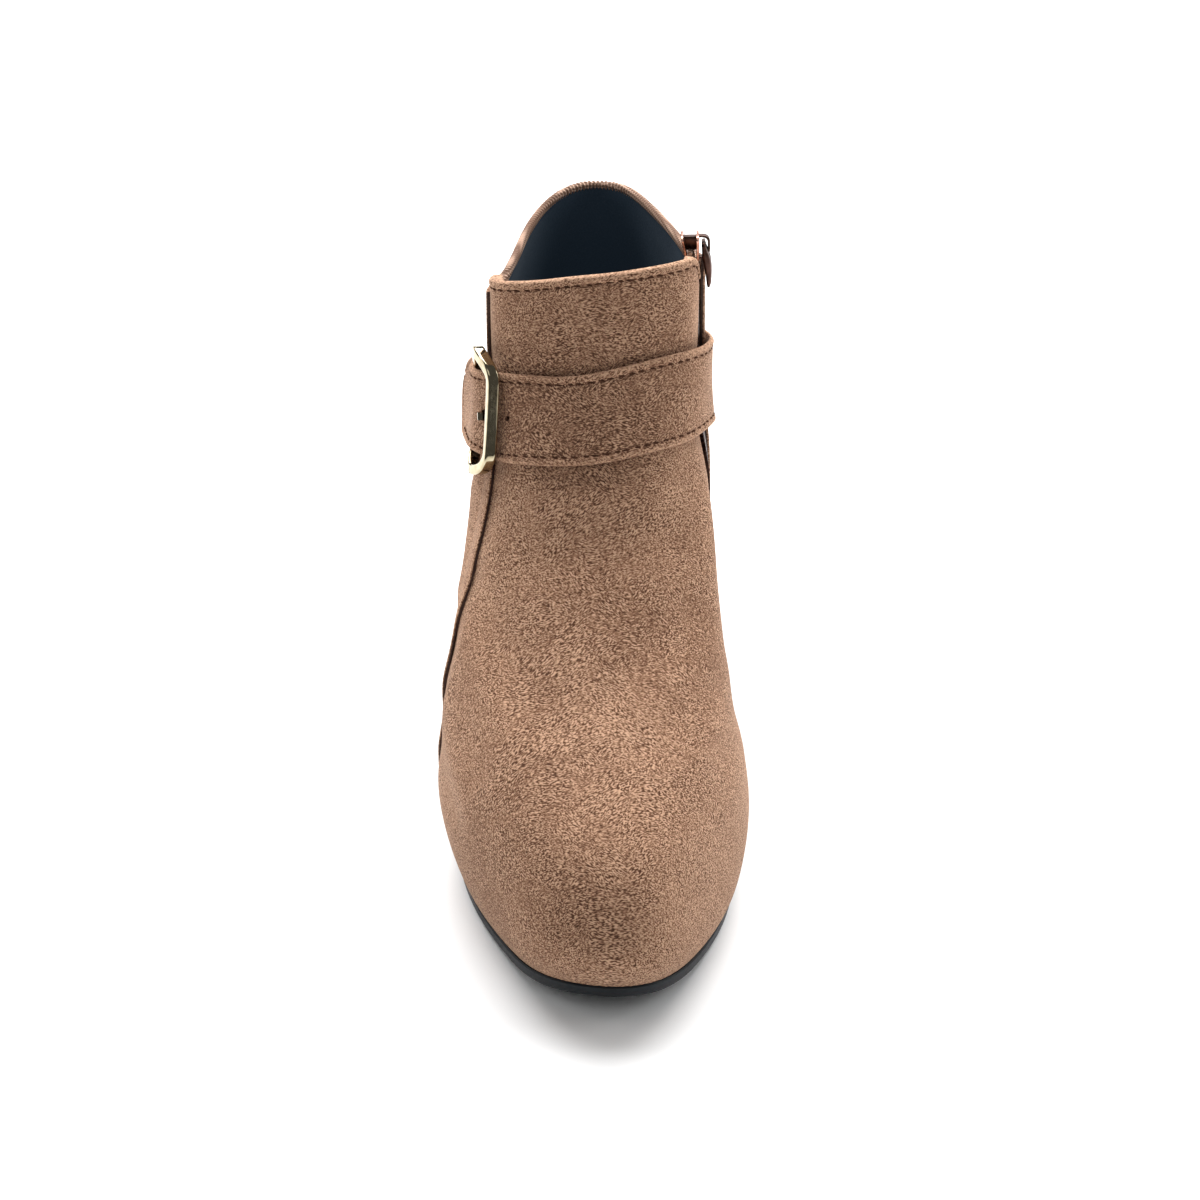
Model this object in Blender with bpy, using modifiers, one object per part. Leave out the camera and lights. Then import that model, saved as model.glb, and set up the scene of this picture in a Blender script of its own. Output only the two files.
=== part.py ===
"""Block heel ankle boot, right shoe, in metres.

+Z is up, the toe points to -Y and the inner side of the foot is +X.

The upper is a stack of closed rings from the feather line, where it meets the sole, to the collar.
A level runs from 0 at the feather line to 9 at the collar. An angle runs round each ring from 0 at
the front ridge, positive on the outer side of the foot, to a half turn at the back of the heel.
"""
import math

import bmesh
import bpy
import numpy as np
from mathutils import Matrix, Vector

# Driving dimensions
LENGTH = 0.240
BALL_WIDTH = 0.090
HEEL_HEIGHT = 0.0535
TOE_SPRING = 0.009
FRONT_HEIGHT = 0.138
BACK_HEIGHT = 0.088
SOLE_EDGE = 0.004
SHIFT = (0.0007, 0.00133, 0.0)

# Fits and walls
SEAT = 0.0003
CLEAR = 0.0005
PANEL_WALL = 0.0024
QUARTER_WALL = 0.0020
LAP_COLUMNS = 2
CHANNEL_WIDTH = 0.0066
CHANNEL_DEPTH = 0.0010
COLLAR_DIP = 0.004
COLLAR_ROUND = 0.0006
CORNER_DROP = 0.20

# One row per ring. front and back are stations along the length, 0 at the heel and 1 at the toe, as are
# the two seams. Rises are shares of the front and back heights. follow is how far the ring sags with the
# sole's arch, ridge the front ridge's shift to the inner side, panel the front panel's lift in metres.
RING_COLUMNS = (
    "front", "front_rise", "back", "back_rise", "follow", "ridge", "panel", "lat_seam", "med_seam",
)
RINGS = np.array((
    (0.988, 0.000, 0.033, 0.000, 1.00, 0.067, 0.0016, 0.700, 0.588),
    (1.000, 0.047, 0.015, 0.102, 0.95, 0.067, 0.0016, 0.692, 0.586),
    (0.996, 0.116, 0.004, 0.216, 0.85, 0.067, 0.0016, 0.675, 0.578),
    (0.958, 0.203, 0.004, 0.330, 0.70, 0.061, 0.0016, 0.646, 0.560),
    (0.883, 0.272, 0.010, 0.432, 0.50, 0.050, 0.0016, 0.604, 0.530),
    (0.758, 0.348, 0.021, 0.534, 0.30, 0.039, 0.0016, 0.542, 0.484),
    (0.633, 0.453, 0.031, 0.636, 0.15, 0.028, 0.0016, 0.481, 0.428),
    (0.525, 0.601, 0.040, 0.739, 0.05, 0.017, 0.0018, 0.417, 0.388),
    (0.450, 0.790, 0.046, 0.864, 0.00, 0.011, 0.0022, 0.371, 0.363),
    (0.408, 1.000, 0.050, 1.000, 0.00, 0.011, 0.0030, 0.346, 0.346),
))
# Half widths of the same rings, as shares of the ball width, at six stations of each ring's own length
RING_STATIONS = np.array((0.03, 0.10, 0.28, 0.52, 0.80, 0.95))
SIDE_COLUMNS = ("tip", "toe", "ball", "waist", "heel", "seat")
OUTER_SIDE = np.array((
    (0.147, 0.267, 0.428, 0.372, 0.300, 0.250),
    (0.153, 0.290, 0.458, 0.413, 0.339, 0.262),
    (0.155, 0.294, 0.488, 0.432, 0.349, 0.262),
    (0.146, 0.299, 0.478, 0.428, 0.345, 0.250),
    (0.139, 0.281, 0.451, 0.420, 0.329, 0.225),
    (0.128, 0.257, 0.396, 0.412, 0.305, 0.195),
    (0.126, 0.231, 0.365, 0.381, 0.277, 0.165),
    (0.136, 0.240, 0.343, 0.342, 0.250, 0.141),
    (0.144, 0.278, 0.337, 0.309, 0.223, 0.121),
    (0.147, 0.294, 0.299, 0.262, 0.195, 0.093),
))
INNER_SIDE = np.array((
    (0.228, 0.333, 0.428, 0.278, 0.289, 0.244),
    (0.236, 0.353, 0.462, 0.322, 0.322, 0.256),
    (0.231, 0.341, 0.482, 0.346, 0.332, 0.256),
    (0.211, 0.325, 0.452, 0.335, 0.329, 0.244),
    (0.187, 0.289, 0.405, 0.345, 0.316, 0.220),
    (0.163, 0.256, 0.379, 0.348, 0.294, 0.190),
    (0.155, 0.242, 0.368, 0.345, 0.273, 0.161),
    (0.160, 0.243, 0.342, 0.333, 0.244, 0.139),
    (0.158, 0.271, 0.340, 0.316, 0.216, 0.117),
    (0.162, 0.286, 0.326, 0.275, 0.180, 0.089),
))
TOP = len(RINGS) - 1

# The sole's underside: stations of its flat, of the shank's top and of the heel seat's pitch
FLAT_TOE = 0.80
FLAT_HEEL = 0.68
SHANK_TOP = 0.22
PITCH_START = 0.40
SEAT_PITCH = 0.0066


def spline(knots, values, at, turn=None):
    """Cubic spline through values[..., k] at knots[k], one row of values per place; closed over a turn."""
    count = len(knots)
    gaps = np.diff(np.append(knots, knots[0] + turn) if turn else knots)
    left_side = np.eye(count)
    right_side = np.zeros((count, count))
    for k in range(0 if turn else 1, count if turn else count - 1):
        before, after = (k - 1) % count, (k + 1) % count
        near, far = gaps[k - 1], gaps[k]
        left_side[k] = 0
        for column, weight in ((before, near), (k, 2 * (near + far)), (after, far)):
            left_side[k, column] += weight
        for column, weight in ((before, 6 / near), (k, -6 / near - 6 / far), (after, 6 / far)):
            right_side[k, column] += weight
    at = np.asarray(at, float)
    at = at % turn if turn else np.clip(at, knots[0], knots[-1])
    values = np.broadcast_to(values, at.shape + (count,))
    bends = values @ np.linalg.solve(left_side, right_side).T
    k = np.clip(np.searchsorted(knots, at, side="right") - 1, 0, len(gaps) - 1)

    def pick(table, index):
        return np.take_along_axis(table, index[..., None], -1)[..., 0]

    after = (k + 1) % count
    gap = gaps[k]
    t = (at - knots[k]) / gap
    straight = (1 - t) * pick(values, k) + t * pick(values, after)
    bow = ((1 - t) ** 3 - (1 - t)) * pick(bends, k) + (t ** 3 - t) * pick(bends, after)
    return straight + bow * gap ** 2 / 6


def table_at(columns, rows, at):
    """Each named column of a table, its first column being the place, read smoothly at these places."""
    rows = np.asarray(rows, float)
    return {name: spline(rows[:, 0], rows[:, k], at) for k, name in enumerate(columns) if k}


def ring_at(level):
    levels = np.arange(len(RINGS), dtype=float)
    return {name: spline(levels, RINGS[:, k], level) for k, name in enumerate(RING_COLUMNS)}


def half_widths(side, level):
    levels = np.arange(len(side), dtype=float)
    return [spline(levels, side[:, k], level) for k in range(len(SIDE_COLUMNS))]


def y_of(station):
    return LENGTH * (0.5 - station)


def smooth(t):
    t = np.clip(t, 0, 1)
    return t * t * (3 - 2 * t)


def sole_under(y):
    """Height of the outsole's underside: toe spring, flat at the ball, shank and pitched heel seat."""
    station = 0.5 - np.asarray(y) / LENGTH
    spring = TOE_SPRING * np.clip((station - FLAT_TOE) / (1 - FLAT_TOE), 0, 2) ** 2
    shank = (HEEL_HEIGHT - SEAT_PITCH) * smooth((FLAT_HEEL - station) / (FLAT_HEEL - SHANK_TOP))
    pitch = SEAT_PITCH * np.clip((PITCH_START - station) / PITCH_START, 0, 2) ** 2
    return spring + shank + pitch


def last_point(level, angle):
    """Point of the last's surface at a level and an angle."""
    level, angle = np.broadcast_arrays(np.asarray(level, float), np.asarray(angle, float))
    ring = ring_at(level)
    side = np.arccos(1 - 2 * RING_STATIONS)
    knots = np.concatenate(((0,), side, (math.pi,), 2 * math.pi - side[::-1]))
    outer_side = [-width for width in half_widths(OUTER_SIDE, level)]
    inner_side = half_widths(INNER_SIDE, level)[::-1]
    widths = np.stack([ring["ridge"], *outer_side, 0 * level, *inner_side], -1)
    x = BALL_WIDTH * spline(knots, widths, angle, 2 * math.pi)
    share = (1 - np.cos(angle)) / 2
    front, back = y_of(ring["front"]), y_of(ring["back"])
    y = front + (back - front) * share
    low_front, low_back = TOE_SPRING + SOLE_EDGE, HEEL_HEIGHT + SOLE_EDGE
    rise_front = low_front + FRONT_HEIGHT * ring["front_rise"]
    rise_back = low_back + BACK_HEIGHT * ring["back_rise"]
    chord = sole_under(front) * (1 - share) + sole_under(back) * share
    z = rise_front * (1 - share) + rise_back * share + ring["follow"] * (sole_under(y) - chord)
    outer = np.clip(np.sin(angle), 0, 1) ** 2
    z = z - COLLAR_DIP * outer * np.clip((level - TOP + 2) / 2, 0, 1) ** 2
    return np.stack([x, y, z], -1)


STEP = 1e-3


def last_slopes(level, angle):
    """How the surface runs up the levels and round the ring."""
    up = last_point(level + STEP, angle) - last_point(level - STEP, angle)
    round_ring = last_point(level, angle + STEP) - last_point(level, angle - STEP)
    return up / (2 * STEP), round_ring / (2 * STEP)


def unit(vectors):
    return vectors / np.linalg.norm(vectors, axis=-1, keepdims=True)


def wall_point(level, angle, height):
    """Point at a height off the last's surface, along its outward normal."""
    level, angle, height = np.broadcast_arrays(level, angle, height)
    up, round_ring = last_slopes(level, angle)
    return last_point(level, angle) + unit(np.cross(up, round_ring)) * height[..., None]


def seam_angle(level, seam, shift=0.0):
    """Angle of a seam at a level; shift moves it back along the foot."""
    ring = ring_at(level)
    share = (y_of(ring[seam]) + shift - y_of(ring["front"])) / (y_of(ring["back"]) - y_of(ring["front"]))
    return np.arccos(np.clip(1 - 2 * share, -1, 1))


for old in list(bpy.data.objects):
    bpy.data.objects.remove(old, do_unlink=True)
boot = bpy.data.collections.new("ankle_boot")
bpy.context.scene.collection.children.link(boot)
cutters = bpy.data.collections.new("cutters")
cutters.hide_render = True
bpy.context.scene.collection.children.link(cutters)


def material(name, colour, roughness, metallic=0.0):
    made = bpy.data.materials.new(name)
    made.use_nodes = True
    shader = made.node_tree.nodes["Principled BSDF"]
    shader.inputs["Base Color"].default_value = (*colour, 1)
    shader.inputs["Roughness"].default_value = roughness
    shader.inputs["Metallic"].default_value = metallic
    return made


SUEDE = material("suede", (0.33, 0.21, 0.145), 0.9)
STRAP_SUEDE = material("strap_suede", (0.34, 0.22, 0.15), 0.9)
RUBBER = material("sole_rubber", (0.015, 0.017, 0.02), 0.55)
HEEL_WRAP = material("heel_cover", (0.02, 0.02, 0.022), 0.5)
LINING = material("sock_lining", (0.02, 0.022, 0.028), 0.85)
GOLD = material("pale_gold", (0.83, 0.71, 0.49), 0.18, 1.0)
BRONZE = material("dark_bronze", (0.16, 0.09, 0.06), 0.35, 1.0)


def make_object(name, points, faces, finish, collection=boot):
    mesh = bpy.data.meshes.new(name)
    mesh.from_pydata([tuple(p) for p in np.asarray(points).reshape(-1, 3)], [], faces)
    edit = bmesh.new()
    edit.from_mesh(mesh)
    bmesh.ops.remove_doubles(edit, verts=edit.verts, dist=1e-7)
    bmesh.ops.recalc_face_normals(edit, faces=edit.faces)
    edit.to_mesh(mesh)
    edit.free()
    made = bpy.data.objects.new(name, mesh)
    mesh.materials.append(finish)
    collection.objects.link(made)
    return made


def grid_faces(rows, columns, first=0, wrap_rows=False, wrap_columns=False):
    """Quads of a grid of points numbered row by row from first."""
    faces = []
    for i in range(rows if wrap_rows else rows - 1):
        for j in range(columns if wrap_columns else columns - 1):
            i2, j2 = (i + 1) % rows, (j + 1) % columns
            faces.append([first + i * columns + j, first + i * columns + j2,
                          first + i2 * columns + j2, first + i2 * columns + j])
    return faces


def loft(name, rings, finish, closed=False, collection=boot):
    """Solid through closed rings of equal count: capped at both ends, or joined end to end."""
    rings = np.asarray(rings)
    rows, columns = rings.shape[:2]
    faces = grid_faces(rows, columns, wrap_rows=closed, wrap_columns=True)
    if not closed:
        faces.append(list(range(columns)))
        faces.append(list(range((rows - 1) * columns, rows * columns)))
    return make_object(name, rings, faces, finish, collection)


def cut(target, cutter):
    cutter.hide_render = True
    cutter.display_type = "WIRE"
    modifier = target.modifiers.new("cut_" + cutter.name, "BOOLEAN")
    modifier.operation = "DIFFERENCE"
    modifier.solver = "EXACT"
    modifier.object = cutter


# Upper: panel, quarter and zip channel as zones of one wall
LEVEL_STEPS = 20
PANEL_STEPS = 28
QUARTER_STEPS = 40
SPREAD_SAMPLES = 200
CORNER_REACH = 1.2
STEP_RUN = 0.006
STEEPEST_SLANT = 2.0
CHANNEL_START = 1.0
LAP_EDGE = 0.0013
LAP_FOOT = 0.5
LAP_RUN = 0.011
SINK_RUN = 0.012
QUARTER_REACH = 2.4

# Rise of the panel's top edge over the last, by the share across it from the zip
PANEL_RISE = (
    (0.00, 0.0056), (0.15, 0.0055), (0.30, 0.0052), (0.40, 0.0048), (0.50, 0.0042), (0.60, 0.0033),
    (0.70, 0.0025), (0.85, 0.0015), (1.00, 0.0010),
)
RISE_FOOT = 8.3


def zip_edge(level):
    return last_point(level, -seam_angle(level, "med_seam"))


def zone_angles(level):
    """Angles of the panel's outer edge, the panel's inner edge and the channel's back edge."""
    lateral = seam_angle(level, "lat_seam")
    medial = seam_angle(level, "med_seam")
    run = zip_edge(level + STEP) - zip_edge(level - STEP)
    slant = np.clip(run[..., 1] / run[..., 2], 0, STEEPEST_SLANT)
    channel = seam_angle(level, "med_seam", CHANNEL_WIDTH * np.sqrt(1 + slant ** 2))
    return lateral, 2 * math.pi - medial, 2 * math.pi - channel


def spread(level, start, end, shares):
    """Angles that split one ring, from start to end, into runs of equal length."""
    angles = np.linspace(start, end, SPREAD_SAMPLES)
    points = last_point(np.full(SPREAD_SAMPLES, level), angles)
    run = np.concatenate([[0], np.cumsum(np.linalg.norm(np.diff(points, axis=0), axis=1))])
    return np.interp(shares * run[-1], run, angles)


def from_ends(level, angles):
    """Distance along one ring from the nearer end of a stretch of it."""
    points = last_point(np.full(len(angles), level), angles)
    run = np.concatenate([[0], np.cumsum(np.linalg.norm(np.diff(points, axis=0), axis=1))])
    return np.minimum(run, run[-1] - run)


def build_upper():
    panel_shares = np.linspace(0, 1, PANEL_STEPS + 1)
    quarter_shares = np.linspace(0, 1, QUARTER_STEPS + 1)
    from_edge = PANEL_STEPS * np.minimum(panel_shares, 1 - panel_shares)
    panel_corner = CORNER_DROP * np.exp(-(PANEL_STEPS * panel_shares / CORNER_REACH) ** 2)
    quarter_corner = CORNER_DROP * np.exp(-(QUARTER_STEPS * quarter_shares / QUARTER_REACH) ** 2)
    corner = np.concatenate([panel_corner, quarter_corner, (0, 0)])
    lapped = from_edge < LAP_COLUMNS
    panel_rise = spline(*np.transpose(PANEL_RISE), panel_shares)
    top_rise = np.concatenate([panel_rise, 0 * quarter_shares, (0, 0)])
    outer, inner = [], []
    for level in np.linspace(0, TOP, LEVEL_STEPS + 1):
        lateral, panel_edge, channel_edge = (float(a) for a in zone_angles(np.array(level)))
        lift = float(ring_at(np.array(level))["panel"])
        depth = CHANNEL_DEPTH * float(smooth(level - CHANNEL_START))
        panel = spread(level, panel_edge - 2 * math.pi, lateral, panel_shares)
        quarter = spread(level, lateral + STEP_RUN, channel_edge, quarter_shares)
        channel = np.array((channel_edge + STEP_RUN, panel_edge - STEP_RUN))
        angle = np.concatenate([panel, quarter, channel])
        levels = level * (1 - corner / TOP)
        lap = float(smooth(level - LAP_FOOT))
        sink = LAP_EDGE * lap * (1 - smooth(from_ends(level, panel) / SINK_RUN))
        swell = lift * lap * (1 - smooth(from_ends(level, quarter) / LAP_RUN))
        high = np.concatenate([lift - sink, swell, 0 * channel - depth])
        low = np.full(len(angle), -QUARTER_WALL)
        low[:len(panel)] = np.where(lapped, -QUARTER_WALL, lift - PANEL_WALL)
        up, _ = last_slopes(levels, angle)
        rise = unit(up) * top_rise[:, None] * float(smooth((level - RISE_FOOT) / (TOP - RISE_FOOT)))
        outer.append(wall_point(levels, angle, high) + rise)
        inner.append(wall_point(levels, angle, low) + rise)
    outer = np.array(outer)
    inner = np.array(inner)
    for side in (outer, inner):
        side[0, :, 2] = sole_under(side[0, :, 1]) + SOLE_EDGE + CLEAR
    rim = (outer[-1] + inner[-1]) / 2
    rim[:, 2] += COLLAR_ROUND
    rows = np.concatenate([outer, rim[None], inner[::-1]])
    faces = grid_faces(len(rows), rows.shape[1], wrap_rows=True, wrap_columns=True)
    return make_object("upper", rows, faces, SUEDE)


build_upper()

# Sole, heel and insole: pairs of points across the foot, from the toe tip to the back of the heel
SOLE_STEPS = 56
SOLE_ACROSS = 2
SOLE_MARGIN = 0.0021
HEEL_MARGIN = 0.0007
SOLE_BEVEL = 0.0011
INSOLE_GAP = 0.0008
INSOLE_THICK = 0.0030
MARGIN_START = 0.5
MARGIN_RUN = 0.14


def outline(angle, grow):
    """Feather line in plan, moved outwards by grow."""
    here = last_point(0 * angle, angle)[..., :2]
    along = last_point(0 * angle, angle + STEP)[..., :2] - last_point(0 * angle, angle - STEP)[..., :2]
    away = np.stack([-along[..., 1], along[..., 0]], -1)
    return here + unit(away) * np.asarray(grow)[..., None]


def sole_margin(angle):
    """How far the outsole stands out from the feather line: under the front panel, then under the quarter."""
    station = 0.5 - last_point(0 * angle, angle)[..., 1] / LENGTH
    return HEEL_MARGIN + (SOLE_MARGIN - HEEL_MARGIN) * smooth((station - MARGIN_START) / MARGIN_RUN)


def plate(name, layers, finish, angles):
    """Solid from stacked plan layers, each an outline's growth and a height over the sole's underside."""
    ring_angles = np.concatenate([angles, 2 * math.pi - angles[-2:0:-1]])
    count = len(angles)
    rings = []
    for grow, height in layers:
        flat = outline(ring_angles, grow(ring_angles))
        rings.append(np.column_stack([flat, sole_under(flat[:, 1]) + height]))
    points = list(np.concatenate(rings))
    around = len(ring_angles)
    faces = grid_faces(len(layers), around, wrap_columns=True)
    for layer in (0, len(layers) - 1):
        base = layer * around
        rows = []
        for k in range(count):
            left = base + k
            right = base + (around - k) % around
            if left == right:
                rows.append([left] * (SOLE_ACROSS + 1))
                continue
            row = [left]
            for step in range(1, SOLE_ACROSS):
                share = step / SOLE_ACROSS
                between = points[left] * (1 - share) + points[right] * share
                between[2] = sole_under(between[1]) + layers[layer][1]
                row.append(len(points))
                points.append(between)
            rows.append(row + [right])
        for near, far in zip(rows[:-1], rows[1:]):
            for step in range(SOLE_ACROSS):
                corners = [near[step], near[step + 1], far[step + 1], far[step]]
                faces.append(list(dict.fromkeys(corners)))
    return make_object(name, points, faces, finish)


def sole_bottom_edge(angle):
    return sole_margin(angle) - SOLE_BEVEL


def insole_edge(angle):
    return 0 * angle - QUARTER_WALL - INSOLE_GAP


SOLE_ANGLES = np.linspace(0, math.pi, SOLE_STEPS + 1)
INSOLE_LOW = SOLE_EDGE + SEAT
SOLE_LAYERS = ((sole_bottom_edge, 0), (sole_margin, SOLE_BEVEL), (sole_margin, SOLE_EDGE))
INSOLE_LAYERS = ((insole_edge, INSOLE_LOW), (insole_edge, INSOLE_LOW + INSOLE_THICK))
plate("outsole", SOLE_LAYERS, RUBBER, SOLE_ANGLES)
plate("insole", INSOLE_LAYERS, LINING, SOLE_ANGLES)

# Block heel
HEEL_BREAST = 0.275
HEEL_TAPER = 0.86
HEEL_INSET = 0.0006
HEEL_BACK_RAKE = 0.004
TOP_PIECE = 0.006
HEEL_AROUND = 25
BREAST_STEPS = 6
BREAST_HOLLOW = 0.0025
HEEL_LEVELS = 6


def heel_ring(drop, height=None):
    """Outline of the heel at a share of its depth: the seat's curve and a slightly hollow breast."""
    seam_station = RINGS[0, RING_COLUMNS.index("lat_seam")]
    start = seam_angle(np.array(0.0), "lat_seam", y_of(HEEL_BREAST) - y_of(seam_station))
    angle = np.linspace(start, 2 * math.pi - start, HEEL_AROUND)
    curve = outline(angle, sole_bottom_edge(angle) - HEEL_INSET)
    across = np.linspace(0, 1, BREAST_STEPS + 1)[1:-1, None]
    hollow = np.column_stack([0 * across[:, 0], BREAST_HOLLOW * np.sin(math.pi * across[:, 0])])
    breast = curve[-1] * (1 - across) + curve[0] * across + hollow
    ring = np.concatenate([curve, breast])
    centre = np.array((0.0, (y_of(HEEL_BREAST) + y_of(0)) / 2))
    scale = 1 - (1 - HEEL_TAPER) * drop
    low = centre + (ring - centre) * scale - np.array((0, HEEL_BACK_RAKE * drop))
    top = sole_under(ring[:, 1]) - SEAT
    z = top * (1 - drop) + (TOP_PIECE + SEAT) * drop if height is None else np.full(len(ring), height)
    return np.column_stack([low, z])


loft("heel_block", [heel_ring(drop) for drop in np.linspace(0, 1, HEEL_LEVELS)], HEEL_WRAP)
loft("heel_top_piece", [heel_ring(1.0, 0.0), heel_ring(1.0, TOP_PIECE)], RUBBER)

# Instep strap: its path over the last, and how far it stands off on its way to the buckle
STRAP_WIDTH = 0.027
STRAP_THICK = 0.0017
PATH_COLUMNS = ("angle", "level")
STRAP_PATH = (
    (-128, 5.40), (-105, 6.40), (-85, 7.08), (-63, 7.52), (-40, 7.76), (-18, 7.82), (0, 7.77), (18, 7.69),
    (36, 7.57), (54, 7.34), (74, 6.98), (92, 6.56), (110, 6.06), (126, 5.46), (140, 4.86),
)
PATH_SAMPLES = 400
NEAREST_ROUNDS = 8
LOWEST_LEVEL = 0.2
HIGHEST_LEVEL = TOP - 0.1
COVER_HOLD = math.radians(3)
COVER_FADE = math.radians(20)
path_degrees = np.linspace(STRAP_PATH[0][0], STRAP_PATH[-1][0], PATH_SAMPLES)
path_levels = table_at(PATH_COLUMNS, STRAP_PATH, path_degrees)["level"]
path_angles = np.radians(path_degrees)
path_points = last_point(path_levels, path_angles)
path_run = np.concatenate([[0], np.cumsum(np.linalg.norm(np.diff(path_points, axis=0), axis=1))])
path_run -= np.interp(0, path_degrees, path_run)


def nearest(points, level, angle):
    """Level and angle of the last's surface nearest to points, from a first guess."""
    for _ in range(NEAREST_ROUNDS):
        up, round_ring = last_slopes(level, angle)
        off = points - last_point(level, angle)
        a, b, c = (up * up).sum(-1), (up * round_ring).sum(-1), (round_ring * round_ring).sum(-1)
        p, q = (off * up).sum(-1), (off * round_ring).sum(-1)
        level = np.clip(level + (c * p - b * q) / (a * c - b * b), LOWEST_LEVEL, HIGHEST_LEVEL)
        angle = angle + (a * q - b * p) / (a * c - b * b)
    return level, angle


def strap_point(run, width, height):
    """Point of the strap: run along its path from the front ridge, width across, height off the last."""
    run, width, height = np.broadcast_arrays(*(np.asarray(v, float) for v in (run, width, height)))
    level = np.interp(run, path_run, path_levels)
    angle = np.interp(run, path_run, path_angles)
    ahead = np.stack([np.interp(run + STEP, path_run, path_points[:, k]) for k in range(3)], -1)
    behind = np.stack([np.interp(run - STEP, path_run, path_points[:, k]) for k in range(3)], -1)
    up, round_ring = last_slopes(level, angle)
    normal = unit(np.cross(up, round_ring))
    across = unit(np.cross(ahead - behind, normal))
    across = across * np.sign(across[..., 2:])
    level, angle = nearest(last_point(level, angle) + across * width[..., None], level, angle)
    skin = ring_at(level)["panel"] * panel_cover(level, angle)
    return wall_point(level, angle, height + skin)


def panel_cover(level, angle):
    """1 over the front panel, fading to 0 a little way behind its two edges."""
    angle = (angle + math.pi) % (2 * math.pi) - math.pi
    edge = np.where(angle > 0, seam_angle(level, "lat_seam"), seam_angle(level, "med_seam"))
    return 1 - smooth((np.abs(angle) - edge - COVER_HOLD) / COVER_FADE)


# Buckle places along the strap's run, and the heights of what crosses there
BUCKLE_ANGLE = math.radians(43)
BUCKLE_FRONT = float(np.interp(BUCKLE_ANGLE, path_angles, path_run))
BUCKLE_SPAN = 0.0165
BUCKLE_REAR = BUCKLE_FRONT + BUCKLE_SPAN
STRAP_START = float(path_run[0]) + 0.004
STRAP_END = BUCKLE_REAR + 0.020
TIP_LENGTH = 0.012
TIP_SHARE = 0.18
LIFT_COLUMNS = ("run", "lift")
STRAP_LIFT = (
    (STRAP_START, 0.0005), (STRAP_START + 0.018, 0.0006), (-0.044, 0.0012), (-0.034, 0.0010),
    (-0.020, 0.0005), (0.000, 0.0005), (0.020, 0.0005),
    (BUCKLE_FRONT - 0.006, 0.0005), (BUCKLE_FRONT + 0.002, 0.0008),
    (BUCKLE_REAR - 0.003, 0.0042), (BUCKLE_REAR + 0.003, 0.0043), (BUCKLE_REAR + 0.011, 0.0046),
    (STRAP_END, 0.0072),
)
STRAP_STEP = 0.0036
SECTION = np.array((
    (-0.96, -0.5), (-0.5, -0.5), (0.0, -0.5), (0.5, -0.5), (0.96, -0.5), (1.0, 0.0),
    (0.96, 0.5), (0.5, 0.5), (0.0, 0.5), (-0.5, 0.5), (-0.96, 0.5), (-1.0, 0.0),
))


def strap_lift(run):
    return table_at(LIFT_COLUMNS, STRAP_LIFT, run)["lift"]


def build_strap():
    steps = int((STRAP_END - STRAP_START) / STRAP_STEP)
    run = np.linspace(STRAP_START, STRAP_END, steps)
    tip = np.clip((STRAP_END - run) / TIP_LENGTH, 0, 1)
    half = STRAP_WIDTH / 2 * (TIP_SHARE + (1 - TIP_SHARE) * np.sqrt(tip))
    rings = []
    for place, reach in zip(run, half):
        width = SECTION[:, 0] * reach
        height = strap_lift(np.full(len(SECTION), place)) + (SECTION[:, 1] + 0.5) * STRAP_THICK
        rings.append(strap_point(place, width, height))
    return loft("strap", rings, STRAP_SUEDE)


strap = build_strap()

# Buckle: frame, pin and the folded chape that carries both on the rear bar
BAR_WIDE = 0.0036
BAR_THICK = 0.0030
REAR_BAR = 0.0015
FRONT_BAR_HEIGHT = 0.0042
REAR_BAR_HEIGHT = 0.0022
FRAME_HALF = 0.0178
FRAME_CORNER = 0.0075
FRAME_STEPS = 44
BAR_SIDES = 10
BAR_SQUARENESS = 0.7
REAR_START = 0.75
REAR_BLEND = 0.20
REAR_HALF = 0.82
REAR_SHOULDER = 0.10
CORNER_STEPS = 9
FOLD_GAP = 0.00025
CHAPE_THICK = 0.0008
CHAPE_WIDTH = 0.023
CHAPE_LENGTH = 0.020
CHAPE_LOW = 0.0008
CHAPE_SLOT = 0.0056
CHAPE_SLOT_END = 0.0075
CHAPE_STEPS = 8
FOLD_STEPS = 9
FOLD_REACH = 0.0035
FOLD_FALL = 0.009
BOX_STEPS = 5
HOLE_LOW = -0.001
HOLE_HIGH = 0.012
PIN_WIDE = 0.0030
PIN_THICK = 0.0017


def rounded_rectangle(half_run, half_width, corner, steps):
    """Closed loop of evenly spaced points, with the outward angle at each."""
    points = []
    for turn, (x, y) in enumerate(((1, 1), (-1, 1), (-1, -1), (1, -1))):
        for a in np.radians(np.linspace(90 * turn, 90 * turn + 90, CORNER_STEPS)):
            centre = (x * (half_run - corner), y * (half_width - corner))
            points.append((centre[0] + corner * math.cos(a), centre[1] + corner * math.sin(a)))
    points = np.array(points + points[:1])
    run = np.concatenate([[0], np.cumsum(np.linalg.norm(np.diff(points, axis=0), axis=1))])
    at = np.linspace(0, run[-1], steps, endpoint=False)
    loop = np.column_stack([np.interp(at, run, points[:, k]) for k in range(2)])
    along = np.roll(loop, -1, 0) - np.roll(loop, 1, 0)
    return loop, np.arctan2(-along[:, 0], along[:, 1])


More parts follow.
